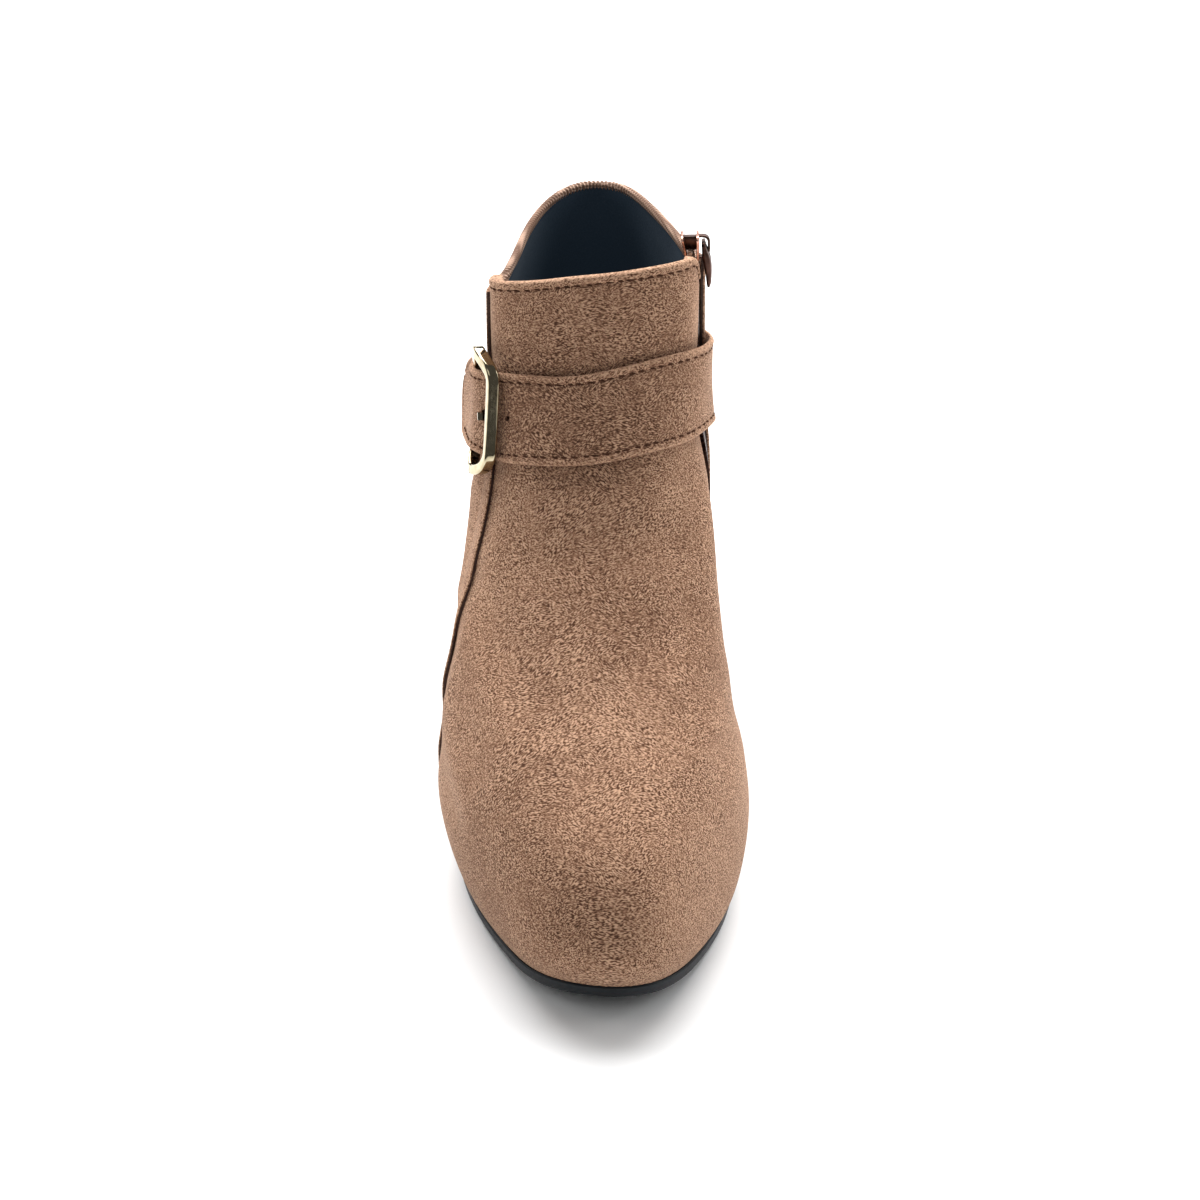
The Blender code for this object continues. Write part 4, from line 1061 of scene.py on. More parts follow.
zip_levels = np.linspace(*ZIP_ROW, 500)
levels, angles, from_seam, from_zip = quarter_places(zip_levels, np.linspace(0.9, 1.0, 120))
column = np.argmin(np.abs(from_zip - ROLL_DEPTH), axis=1)
pick = (np.arange(len(zip_levels)), column)
points = wall_point(levels[pick], angles[pick], quarter_swell(levels, from_seam, from_zip)[pick])
stitch_row("zip_edge_stitches", points, wall_normal(levels[pick], angles[pick]))

# %% [markdown]
# ## Strap
# The strap is suede turned over at both edges and stitched. It starts behind the zip, crosses the instep
# and passes under the buckle's front bar, over its rear bar and stands off behind it. A path on the last
# gives its middle line, a lift table says how far it stands off, and a section with soft rolls at the
# edges is swept along.

# %% The strap's path
STRAP_WIDTH = 0.027
STRAP_THICK = 0.0017
# degrees round the leg, level
STRAP_PATH = (
    (-128, 5.40), (-105, 6.40), (-85, 7.08), (-63, 7.52), (-40, 7.76), (-18, 7.82), (0, 7.77), (18, 7.69),
    (36, 7.57), (54, 7.34), (74, 6.98), (92, 6.56), (110, 6.06), (126, 5.46), (140, 4.86),
)
COVER_HOLD = math.radians(3)
COVER_FADE = math.radians(20)
NEAREST_ROUNDS = 8

path_degrees = np.linspace(STRAP_PATH[0][0], STRAP_PATH[-1][0], 400)
path_levels = column_at(STRAP_PATH, 1, path_degrees)
path_angles = np.radians(path_degrees)
path_points = last_point(path_levels, path_angles)
path_run = run_along(path_points)
path_run -= np.interp(0, path_degrees, path_run)


def nearest(points, level, angle):
    """Level and angle of the last's surface nearest to points, from a first guess."""
    for _ in range(NEAREST_ROUNDS):
        up, round_ring = last_slopes(level, angle)
        off = points - last_point(level, angle)
        a, b, c = (up * up).sum(-1), (up * round_ring).sum(-1), (round_ring * round_ring).sum(-1)
        p, q = (off * up).sum(-1), (off * round_ring).sum(-1)
        level = np.clip(level + (c * p - b * q) / (a * c - b * b), 0.2, TOP - 0.1)
        angle = angle + (a * q - b * p) / (a * c - b * b)
    return level, angle


def panel_cover(level, angle):
    """1 over the front panel, fading to 0 a little way behind its two edges."""
    angle = (angle + math.pi) % (2 * math.pi) - math.pi
    edge = np.where(angle > 0, seam_angle(level, "lat_seam"), seam_angle(level, "med_seam"))
    return 1 - smooth((np.abs(angle) - edge - COVER_HOLD) / COVER_FADE)


def strap_place(run, width):
    """Level and angle under a place of the strap: run along its path, width across it."""
    run, width = np.broadcast_arrays(np.asarray(run, float), np.asarray(width, float))
    level = np.interp(run, path_run, path_levels)
    angle = np.interp(run, path_run, path_angles)
    ahead, behind = (read_along(path_run, run + step, *path_points.T) for step in (STEP, -STEP))
    across = unit(np.cross(ahead - behind, wall_normal(level, angle)))
    across = across * np.sign(across[..., 2:])
    return nearest(last_point(level, angle) + across * width[..., None], level, angle)


def strap_point(run, width, height):
    run, width, height = np.broadcast_arrays(*(np.asarray(v, float) for v in (run, width, height)))
    level, angle = strap_place(run, width)
    skin = ring_at(level)["panel"] * panel_cover(level, angle)
    return wall_point(level, angle, height + skin)


print("strap's path round the leg:", round(1000 * float(path_run[-1] - path_run[0])), "mm")


# %% The strap
BUCKLE_FRONT = float(np.interp(math.radians(43), path_angles, path_run))
BUCKLE_SPAN = 0.0145
BUCKLE_REAR = BUCKLE_FRONT + BUCKLE_SPAN
STRAP_START = float(path_run[0]) + 0.004
STRAP_END = BUCKLE_REAR + 0.022
TIP_LENGTH = 0.012
TIP_SHARE = 0.18
# run along the strap, height of its underside
STRAP_LIFT = (
    (STRAP_START, 0.0005), (STRAP_START + 0.018, 0.0006), (-0.044, 0.0012), (-0.034, 0.0010),
    (-0.020, 0.0005), (0.000, 0.0005), (0.020, 0.0005),
    (BUCKLE_FRONT - 0.006, 0.0005), (BUCKLE_FRONT + 0.001, 0.0007),
    (BUCKLE_FRONT + 0.006, 0.0025), (BUCKLE_REAR - 0.003, 0.0034), (BUCKLE_REAR + 0.003, 0.0035),
    (BUCKLE_REAR + 0.011, 0.0041), (STRAP_END, 0.0070),
)
STRAP_STEPS = 300
STITCH_INSET = 0.0025
STRAP_ROLL = 0.00022
STRAP_TOP_ROUND = 0.0008
STRAP_LOW_ROUND = 0.0006
SEAM_INSET = 0.003
SEAM_PAST_BUCKLE = 0.010
OUTER_WIDTHS = 2 * packed(44, 0.85) - 1
INNER_WIDTHS = np.linspace(1, -1, 14)


def strap_half(run):
    tip = np.clip((STRAP_END - run) / TIP_LENGTH, 0, 1)
    return STRAP_WIDTH / 2 * (TIP_SHARE + (1 - TIP_SHARE) * np.sqrt(tip))


def strap_lift(run):
    return column_at(STRAP_LIFT, 1, run)


strap_run = np.linspace(STRAP_START, STRAP_END, STRAP_STEPS)
half = strap_half(strap_run)[:, None]
inset = half * (1 - np.abs(OUTER_WIDTHS))
roll = rolled(inset, STRAP_ROLL, STITCH_INSET) - GROOVE * bell(inset - STITCH_INSET, GROOVE_WIDTH)
low = strap_lift(strap_run)[:, None]
top = low + STRAP_THICK - rounded(inset, STRAP_TOP_ROUND) + roll
outer = strap_point(strap_run[:, None], half * OUTER_WIDTHS, top)
under_inset = half * (1 - np.abs(INNER_WIDTHS))
under = low + rounded(under_inset, STRAP_LOW_ROUND)
inner = strap_point(strap_run[:, None], half * INNER_WIDTHS, under)
# lighter nap along the strap's rolled edges: partly worn nap, partly a painted highlight
worn = np.concatenate([wear_and_highlight_stripe(inset, 0.8, at=0.0005, width=0.0010), 0 * under_inset], axis=1)
rings = np.concatenate([outer, inner], axis=1)
strap = lofted("instep_strap", rings, STRAP_SUEDE, ["strap"], "strap_suede", marks={"worn": worn})
print("strap:", round(1000 * (STRAP_END - STRAP_START)), "mm along the last")


def strap_stitches(name, run, width, sunk):
    """A row of stitches on the strap, sunk below its plain face."""
    seam = strap_point(run, width, strap_lift(run) + STRAP_THICK - sunk)
    stitch_row(name, seam, wall_normal(*strap_place(run, width)), "strap_suede")


seam_run = np.linspace(STRAP_START + SEAM_INSET, BUCKLE_REAR + SEAM_PAST_BUCKLE, 500)
for side, name in ((1, "strap_top_stitches"), (-1, "strap_low_stitches")):
    strap_stitches(name, seam_run, side * (strap_half(seam_run) - STITCH_INSET), GROOVE)
end_width = np.linspace(-1, 1, 60) * (STRAP_WIDTH / 2 - STITCH_INSET)
strap_stitches("strap_end_stitches", np.full(60, STRAP_START + SEAM_INSET), end_width, GROOVE / 2)

# %% [markdown]
# ## Holes in the strap
# The strap has a hole where the buckle's pin comes up, and punched holes for other fits. They are cut
# with Booleans, as a punch would cut them, because the cut wall then shows its thickness.

# %% Punch the strap
PUNCH_HALF = 0.00085
PUNCH_SIDES = 16
PUNCH_HEIGHTS = (-0.001, 0.009)
PUNCH_RUNS = (BUCKLE_FRONT - 0.0042, BUCKLE_REAR + 0.0085)
PIN_HOLE_AT = 0.0108
PIN_HOLE_LONG = 0.0021
PIN_HOLE_WIDE = 0.0018


def cut_from(piece, name, rings):
    """Cuts a prism, given by its two end loops, out of a piece with a Boolean."""
    rings = np.asarray(rings)
    mesh = new_mesh(name, rings, loft_faces(*rings.shape[:2]))
    face_outwards(mesh)
    tool = new_object(name, mesh)
    cut = piece.modifiers.new(name, "BOOLEAN")
    cut.operation = "DIFFERENCE"
    cut.solver = "EXACT"
    cut.object = tool
    bpy.context.view_layer.update()
    seen = piece.evaluated_get(bpy.context.evaluated_depsgraph_get())
    made = bpy.data.meshes.new_from_object(seen)
    piece.modifiers.clear()
    piece.data = made
    bpy.data.objects.remove(tool)


def punch(name, runs, widths):
    cut_from(strap, name, [strap_point(runs, widths, height) for height in PUNCH_HEIGHTS])


turn = np.linspace(0, 2 * math.pi, PUNCH_SIDES, endpoint=False)
for number, place in enumerate(PUNCH_RUNS):
    punch(f"punch_{number}", place + PUNCH_HALF * np.cos(turn), PUNCH_HALF * np.sin(turn))
punch("pin_hole", BUCKLE_REAR - PIN_HOLE_AT + PIN_HOLE_LONG * np.cos(turn), PIN_HOLE_WIDE * np.sin(turn))
print("strap after punching:", len(strap.data.polygons), "faces")

# %% [markdown]
# ## Buckle
# A cast frame of pale gold: a rounded rectangle whose bars have flat faces and small round edges, and a
# thinner rear bar for the leather fold that carries it. It is stiff, so its faces all lie square to one
# plane, however the leg bends below it. A flat face needs points near its edges only, or smooth shading
# bows it.

# %% Buckle frame
BAR_WIDE = 0.0031
BAR_THICK = 0.0036
BAR_EDGE = 0.0007
REAR_BAR = 0.0015
FRONT_BAR_HEIGHT = 0.0047
REAR_BAR_HEIGHT = 0.0016
REAR_TAPER = 0.24
FRAME_AHEAD = 0.0012
FRAME_HALF = 0.0195
FRAME_CORNER = 0.0088
FRAME_STEPS = 180
BAR_SIDES = 40
ROUND_RUN = (0.75, 0.2)
ROUND_WIDTH = (0.82, 0.1)
WIDE_TO = 0.375
PIN_WIDE = 0.0026
FOLD_GAP = 0.00025
CHAPE_THICK = 0.0008


def rounded_rectangle(half_run, half_width, corner, steps):
    """Closed loop of evenly spaced points, with the outward angle at each."""
    points = []
    for turn, (x, y) in enumerate(((1, 1), (-1, 1), (-1, -1), (1, -1))):
        a = np.radians(np.linspace(90 * turn, 90 * turn + 90, 25))
        quarter_turn = corner * np.column_stack([np.cos(a), np.sin(a)])
        points.append(quarter_turn + (x * (half_run - corner), y * (half_width - corner)))
    points.append(points[0][:1])
    points = np.concatenate(points)
    run = run_along(points)
    at = np.linspace(0, run[-1], steps, endpoint=False)
    loop = read_along(run, at, *points.T)
    along = np.roll(loop, -1, 0) - np.roll(loop, 1, 0)
    return loop, np.arctan2(-along[:, 0], along[:, 1])


half_run = (BUCKLE_SPAN + FRAME_AHEAD) / 2
loop, _ = rounded_rectangle(half_run, FRAME_HALF, FRAME_CORNER, FRAME_STEPS)
bar, around = rounded_rectangle(BAR_WIDE / 2, BAR_THICK / 2, BAR_EDGE, BAR_SIDES)
rear = smooth((loop[:, :1] / half_run - ROUND_RUN[0]) / ROUND_RUN[1])
rear = rear * smooth((ROUND_WIDTH[0] - np.abs(loop[:, 1:]) / FRAME_HALF) / ROUND_WIDTH[1])
out = bar[:, 0] * (1 - rear) + REAR_BAR / 2 * np.cos(around) * rear
rise = bar[:, 1] * (1 - rear) + REAR_BAR / 2 * np.sin(around) * rear
share = np.clip((loop[:, :1] / half_run + 1) / 2, 0, 1)
height = FRONT_BAR_HEIGHT * (1 - share) + REAR_BAR_HEIGHT * share
across = loop[:, 1] * (1 - REAR_TAPER * smooth((share[:, 0] - WIDE_TO) / (1 - WIDE_TO)))
middle = BUCKLE_REAR - half_run
centre = strap_point(middle + loop[:, 0], across, height[:, 0])
frame_out = wall_normal(*strap_place(middle, 0.0))
along = unit(np.roll(centre, -1, 0) - np.roll(centre, 1, 0))
aside = unit(np.cross(along, frame_out))
aside = aside * np.sign(((centre - centre.mean(axis=0)) * aside).sum(axis=1))[:, None]
upward = unit(frame_out - along * (along @ frame_out)[:, None])
rings = centre[:, None] + aside[:, None] * out[..., None] + upward[:, None] * rise[..., None]
new_piece("gold_buckle", rings, loft_faces(*rings.shape[:2], closed=True), GOLD, ["buckle_frame"], "pale_gold")

# %% Buckle pin
SQUARENESS = 0.8
FOLD = REAR_BAR / 2 + FOLD_GAP + CHAPE_THICK / 2


def ribbon(path, thick, half_width, sides):
    """Rings of a flat band along a path of run and height, with a soft squared section."""
    path = np.asarray(path)
    along = unit(np.gradient(path, axis=0))
    across = np.column_stack([-along[:, 1], along[:, 0]])
    a = 2 * math.pi * (np.arange(sides) + 0.5) / sides
    square = np.maximum(np.abs(np.cos(a)), np.abs(np.sin(a))) ** -SQUARENESS
    layer = square * np.sin(a) * np.asarray(thick)[:, None] / 2
    place = path[:, None] + across[:, None] * layer[..., None]
    width = half_width * np.minimum(square * np.abs(np.cos(a)), 1) * np.sign(np.cos(a))
    return strap_point(place[..., 0], width, place[..., 1])


def round_bar(low, high, count):
    """Run and height of a fold round the rear bar, between two angles."""
    turn = np.radians(np.linspace(low, high, count))
    return np.column_stack([BUCKLE_REAR + FOLD * np.cos(turn), REAR_BAR_HEIGHT + FOLD * np.sin(turn)])


# distance ahead of the rear bar, height, thickness
PIN_PATH = (
    (0.0022, 0.0025, 0.0010), (0.0044, 0.0022, 0.0012), (0.0068, 0.0018, 0.0013), (0.0086, 0.0020, 0.0014),
    (0.0098, 0.0034, 0.0015), (0.0106, 0.0047, 0.0016), (0.0114, 0.0052, 0.0014),
)
eye = round_bar(-150, 85, 24)
before = np.linspace(PIN_PATH[0][0], PIN_PATH[-1][0], 40)
rod = np.column_stack([BUCKLE_REAR - before, column_at(PIN_PATH, 1, before)])
thick = np.concatenate([np.full(len(eye), CHAPE_THICK), column_at(PIN_PATH, 2, before)])
rings = ribbon(np.concatenate([eye, rod]), thick, PIN_WIDE / 2, 20)
lofted("gold_pin", rings, GOLD, ["buckle_pin"], "pale_gold")

# %% [markdown]
# ## Chape
# The chape is the short leather that folds round the buckle's rear bar and is sewn to the quarter. It
# hides under the strap's free end, so a plain fold with soft edges is enough, with the middle split for
# the pin.

# %% Chape
CHAPE_WIDTH = 0.023
CHAPE_LENGTH = 0.020
CHAPE_LOW = 0.0008
CHAPE_SPLIT = 0.0003
CHAPE_SLOT = 0.0056
SLOT_LENGTH = 0.0085
SLOT_END = 0.001
FOLD_REACH = 0.0035
FOLD_FALL = 0.009
SECTION_SHARES = np.array((0, 0.03, 0.35, 0.7, 0.96, 1, 1, 0.96, 0.7, 0.35, 0.03, 0))
SECTION_LAYER = np.array((0.35, 0.5, 0.5, 0.5, 0.5, 0.3, -0.3, -0.5, -0.5, -0.5, -0.5, -0.35))

reach = np.linspace(CHAPE_LENGTH, FOLD_REACH, 20)
fall = smooth(reach[::-1] / FOLD_FALL)
laid_on = CHAPE_LOW + CHAPE_THICK + FOLD_GAP
path = np.concatenate([
    np.column_stack([BUCKLE_REAR + reach, np.full(len(reach), CHAPE_LOW)]),
    round_bar(-90, -270, 20),
    np.column_stack([BUCKLE_REAR + reach[::-1], (REAR_BAR_HEIGHT + FOLD) * (1 - fall) + laid_on * fall]),
])
along = unit(np.gradient(path, axis=0))
across = np.column_stack([-along[:, 1], along[:, 0]])
place = path[:, None] + across[:, None] * (SECTION_LAYER * CHAPE_THICK)[None, :, None]
slotted = smooth((SLOT_LENGTH - (path[:, 0] - BUCKLE_REAR)) / SLOT_END)
near = (CHAPE_SPLIT + (CHAPE_SLOT / 2 - CHAPE_SPLIT) * slotted)[:, None]
for side, name in ((1, "chape_upper_half"), (-1, "chape_lower_half")):
    widths = side * (near + (CHAPE_WIDTH / 2 - near) * SECTION_SHARES)
    rings = strap_point(place[..., 0], widths, place[..., 1])
    lofted(name, rings, STRAP_SUEDE, ["buckle_chape"], "strap_suede", marks={"worn": 0 * widths})

# %% [markdown]
# ## Zip
# The inner side closes with a metal zip in a channel between panel and quarter. A woven tape lies in the
# channel, two rows of teeth mesh along its middle, and the slider waits at the top. The solid of the
# chain is one bar, so teeth replace it here, one small nosed block each.

# %% Zip tape
CHANNEL_DEPTH = 0.0010
TAPE_HALF = 0.0052
TAPE_FACES = (0.00025, -0.0003)


def zip_point(level, across, height):
    """Point of the zip: a level along it, a distance across it and a height off the last."""
    level, across, height = np.broadcast_arrays(level, across, height)
    _, panel_edge, channel_edge = zone_angles(level)
    middle = (panel_edge + channel_edge) / 2
    _, round_ring = last_slopes(level, middle)
    return wall_point(level, middle + across / np.linalg.norm(round_ring, axis=-1), height)


tape_levels = np.linspace(0.0, TOP - STEP, 240)
tape_across = np.linspace(TAPE_HALF, -TAPE_HALF, 15)
depth = CHANNEL_DEPTH * smooth(tape_levels - 1.0)[:, None]
tape = [zip_point(tape_levels[:, None], tape_across, height - depth) for height in TAPE_FACES]
faces, _ = shell_faces(len(tape_levels), len(tape_across))
new_piece("zip_tape_strip", tape, faces, TAPE, ["upper"], "suede")

# %% Zip teeth
CHAIN_START = 1.9
TOOTH_PITCH = 0.00128
TOOTH_LONG = 0.00078
TOOTH_LOW = -0.0006
TOOTH_HIGH = 0.0008
TOOTH_SLIM = 0.97
# distance across the zip, share of the tooth's length along it
NOSE = np.array((
    (-0.0021, 0.5), (-0.0004, 0.5), (0.0004, 0.32), (0.0006, 0.0),
    (0.0004, -0.32), (-0.0004, -0.5), (-0.0021, -0.5),
))

fine = np.linspace(CHAIN_START, TOP - STEP, 1200)
chain_run = run_along(zip_point(fine, 0.0, 0.0))
teeth = []
for side in (1, -1):
    starts = np.arange(TOOTH_PITCH, chain_run[-1] - TOOTH_PITCH, TOOTH_PITCH) + (side < 0) * TOOTH_PITCH / 2
    level = np.interp(starts[:, None] + TOOTH_LONG * NOSE[:, 1], chain_run, fine)
    across = np.broadcast_to(-side * NOSE[:, 0], level.shape)
    foot, head = zip_point(level, across, TOOTH_LOW), zip_point(level, across * TOOTH_SLIM, TOOTH_HIGH)
    teeth.append(np.stack([foot, head], axis=1))
teeth = np.concatenate(teeth)
tooth = np.array(grid_quads(2, len(NOSE), 0, True))
first = np.arange(len(teeth))[:, None, None] * 2 * len(NOSE)
faces = (first + tooth).reshape(-1, 4).tolist()
for end in (0, len(NOSE)):
    faces += (first[:, 0] + end + np.arange(len(NOSE))).tolist()
new_piece("zip_teeth", teeth, faces, BRONZE, ["zip_chain"], "dark_bronze")

# %% [markdown]
# ## Slider
# A zip slider is two small plates joined by a wedge, with a bridge on the outer one for the pull. From
# the end one sees the rims of both plates and, between them, the tapes going in. The rims are a lighter
# copper. Each plate is an outline lofted through its thickness, with a round rim.

# %% Slider
TOP_RUN = 0.15
top_here = zip_point(TOP - STEP, 0.0, 0.0)
zip_up = unit(top_here - zip_point(TOP - TOP_RUN, 0.0, 0.0))
zip_out = unit(zip_point(TOP - STEP, 0.0, STEP) - top_here)
zip_front = np.cross(zip_out, zip_up)
zip_front = unit(zip_front) * np.sign(-zip_front[1])
zip_out = np.cross(zip_up, zip_front) * np.sign(np.cross(zip_up, zip_front) @ zip_out)
SLIDER_LOW = 0.0013
SLIDER_LONG = 0.0078
SLIDER_HALVES = (0.0032, 0.0041)
SLIDER_NARROW_TO = 0.375
PLATE_CORNER = 0.0014
# share of the thickness, inset of the rim
PLATE_RIM = ((-0.5, 0.0003), (-0.3, 0.0), (0.3, 0.0), (0.5, 0.0003))


def zip_top_point(across, up, out):
    """Point over the top of the zip: across towards the front, up along it and out from the wall."""
    across, up, out = np.broadcast_arrays(across, up, out)
    return top_here + across[..., None] * zip_front + up[..., None] * zip_up + out[..., None] * zip_out


def slider_plate(name, low_out, high_out, thick):
    """One plate of the slider, wider at its mouth, leaning from low_out to high_out."""
    narrow, wide = SLIDER_HALVES
    loop, outward = rounded_rectangle(SLIDER_LONG / 2, wide, PLATE_CORNER, 64)
    share = loop[:, 0] / SLIDER_LONG + 0.5
    half = narrow + (wide - narrow) * smooth((share - SLIDER_NARROW_TO) / (1 - SLIDER_NARROW_TO))
    rings = []
    for layer, inset in PLATE_RIM:
        across = loop[:, 1] * half / wide - inset * np.sin(outward)
        up = SLIDER_LOW + SLIDER_LONG / 2 + loop[:, 0] - inset * np.cos(outward)
        rings.append(zip_top_point(across, up, low_out + (high_out - low_out) * share + layer * thick))
    rings = np.array(rings)
    faces = loft_faces(*rings.shape[:2])
    look = [1] * (len(faces) - 2) + [0, 0]
    return new_piece(name, rings, faces, [BRONZE, COPPER], ["zip_slider"], "dark_bronze", look=look)


slider_plate("slider_outer_plate", 0.0006, 0.0006, 0.0009)
slider_plate("slider_inner_plate", -0.0026, -0.0040, 0.0008)

WEDGE = np.array((
    (0.0, 0.0042), (0.0009, 0.0058), (0.0014, 0.0078), (0.0011, 0.0086),
    (-0.0011, 0.0086), (-0.0014, 0.0078), (-0.0009, 0.0058),
))
WEDGE_LAYERS = (-0.0036, -0.0015, 0.0004)
rings = [zip_top_point(*WEDGE.T, out) for out in WEDGE_LAYERS]
lofted("slider_wedge", rings, BRONZE, ["zip_slider"], "dark_bronze")

# %% Slider's bridge
BRIDGE_HALF = 0.0011
BRIDGE_THICK = 0.0008
BRIDGE_EDGE = 0.35
# height along the zip, distance out from the wall
BRIDGE_PATH = np.array((
    (0.0021, 0.0008), (0.0022, 0.0022), (0.0028, 0.0033), (0.0040, 0.0038), (0.0056, 0.0039),
    (0.0072, 0.0038), (0.0081, 0.0033), (0.0085, 0.0022), (0.0085, 0.0008),
))
knots = np.linspace(0, 1, len(BRIDGE_PATH))
bridge = np.column_stack([spline(knots, column, np.linspace(0, 1, 48)) for column in BRIDGE_PATH.T])
ahead = unit(np.gradient(bridge, axis=0))
side = np.column_stack([-ahead[:, 1], ahead[:, 0]])
section, _ = rounded_rectangle(BRIDGE_HALF, BRIDGE_THICK / 2, BRIDGE_THICK * BRIDGE_EDGE, 24)
place = bridge[:, None] + side[:, None] * section[None, :, 1:]
rings = zip_top_point(section[:, 0], place[..., 0], place[..., 1])
lofted("slider_bridge", rings, BRONZE, ["zip_slider"], "dark_bronze")

# %% [markdown]
# ## Pull tab
# The pull is a small cast leaf that hangs from the bridge by an eye. It is thick at the shoulder, thins
# to its tip and bows away from the boot, so a thumb can get under it. It is a domed slab with its eye cut
# by a Boolean.

# %% Pull tab
PIVOT_UP = 0.0064
PIVOT_OUT = 0.0023
PULL_LEAN = math.radians(5)
PULL_HALF = 0.0030
PULL_LONG = 0.0138
PULL_PIN = 0.0011
PULL_TAIL = 0.0022
PULL_HEAD = 0.0010
NECK = 0.8
TAIL_THIN = 0.55
DOME = 0.6
SIDE_ROUND = 0.7
NARROW_BY = 0.30
NARROW_FROM = 0.005
NARROW_RUN = 0.009
EYE_SIZE = (0.0022, 0.0016, 0.0008)
EYE_BELOW = 0.0028
EYE_CUT = (-0.004, 0.005)
# distance below the pivot, thickness, bow
PULL_SHAPE = (
    (-0.00055, 0.0012, 0.0000), (0.0012, 0.0016, 0.0001), (0.0040, 0.0025, 0.0004), (0.0070, 0.0025, 0.0006),
    (0.0100, 0.0019, 0.0006), (0.0124, 0.0014, 0.0004), (0.0138, 0.0010, 0.0002),
)
down = -zip_up * math.cos(PULL_LEAN) + zip_out * math.sin(PULL_LEAN)
away = np.cross(zip_front, down)
pivot = zip_top_point(0.0, PIVOT_UP, PIVOT_OUT)


def pull_point(across, below, out):
    across, below, out = np.broadcast_arrays(across, below, out)
    return pivot + across[..., None] * zip_front + below[..., None] * down + out[..., None] * away


below = np.linspace(-PULL_PIN / 2, PULL_LONG, 70)
tail = np.clip((PULL_LONG - below) / PULL_TAIL, 0, 1)
head = np.clip((below + PULL_PIN / 2) / PULL_HEAD, 0, 1)
half = PULL_HALF * (1 - NARROW_BY * smooth((below - NARROW_FROM) / NARROW_RUN))
half = half * np.sqrt(np.clip(1 - (1 - tail) ** 2, 0.02, 1)) * (NECK + (1 - NECK) * np.sqrt(head))
turn = np.linspace(0, 2 * math.pi, 40, endpoint=False)
thinned = TAIL_THIN + (1 - TAIL_THIN) * np.sqrt(np.clip(tail * 1.5, 0, 1))
thick = column_at(PULL_SHAPE, 1, below) / 2 * thinned
domed = np.sign(np.sin(turn)) * np.abs(np.sin(turn)) ** DOME
wide = np.sign(np.cos(turn)) * np.abs(np.cos(turn)) ** SIDE_ROUND
bowed = column_at(PULL_SHAPE, 2, below)[:, None] + thick[:, None] * domed
rings = pull_point(half[:, None] * wide, below[:, None], bowed)
pull = lofted("pull_leaf", rings, BRONZE, ["zip_pull"], "dark_bronze", body="pull_tab")
eye, _ = rounded_rectangle(*EYE_SIZE, 32)
cut_from(pull, "pull_eye", [pull_point(eye[:, 1], eye[:, 0] + EYE_BELOW, out) for out in EYE_CUT])
print("pull tab hangs from", (pivot + SHIFT).round(4))

# %% [markdown]
# ## Tape ends
# Above the collar the two tapes run on into the slider as frayed strips of tan cloth, and turn out over
# the wall's edge. Each is a thin ribbed strip that waves a little.

# %% Tape ends
END_RISE = (-0.0035, 0.0046)
END_ACROSS = (0.0004, 0.0032)
END_HALF = 0.0005
END_SUNK = 0.0012
END_LAP = 0.0002
END_CURL = 0.0005
CURL_PER_METRE = 500
FRAY = 0.00018
FRAY_PITCH = 0.0011
FRAY_SLANT = 900
rise = np.linspace(*END_RISE, 40)[:, None]
across = np.linspace(*END_ACROSS, 9)
for side, name in ((1, "tape_end_front"), (-1, "tape_end_back")):
    wave = FRAY * np.sin(2 * math.pi * rise / FRAY_PITCH + side + FRAY_SLANT * across)
    lean = -END_SUNK - END_LAP * side + END_CURL * np.cos(rise * CURL_PER_METRE)
    strips = [zip_top_point(side * across, rise, lean + half + wave) for half in (END_HALF, -END_HALF)]
    faces, _ = shell_faces(*strips[0].shape[:2])
    new_piece(name, strips, faces, BINDING, ["zip_chain"], "suede")

# %% [markdown]
# ## Sole, heel and sock
# The thin black sole follows the feather line a little outside the upper, springs up at the toe and
# arches to the heel seat. Shallow grooves cross its underside for grip. The block heel tapers to a
# separate top piece. Inside lies a sock.

# %% Outline of the sole
SOLE_MARGIN = 0.0021
HEEL_MARGIN = 0.0007
MARGIN_FROM = 0.5
MARGIN_RUN = 0.14


def outline(angle, grow):
    """Feather line in plan, moved outwards."""
    here = last_point(0 * angle, angle)[..., :2]
    along = last_point(0 * angle, angle + STEP)[..., :2] - last_point(0 * angle, angle - STEP)[..., :2]
    away = np.stack([-along[..., 1], along[..., 0]], -1)
    return here + unit(away) * np.asarray(grow)[..., None]


def sole_margin(angle):
    station = 0.5 - last_point(0 * angle, angle)[..., 1] / LENGTH
    return HEEL_MARGIN + (SOLE_MARGIN - HEEL_MARGIN) * smooth((station - MARGIN_FROM) / MARGIN_RUN)


# %% Plates across the foot
SOLE_STEPS = 240
SOLE_ACROSS = 26
CROWN_RUN = 0.012


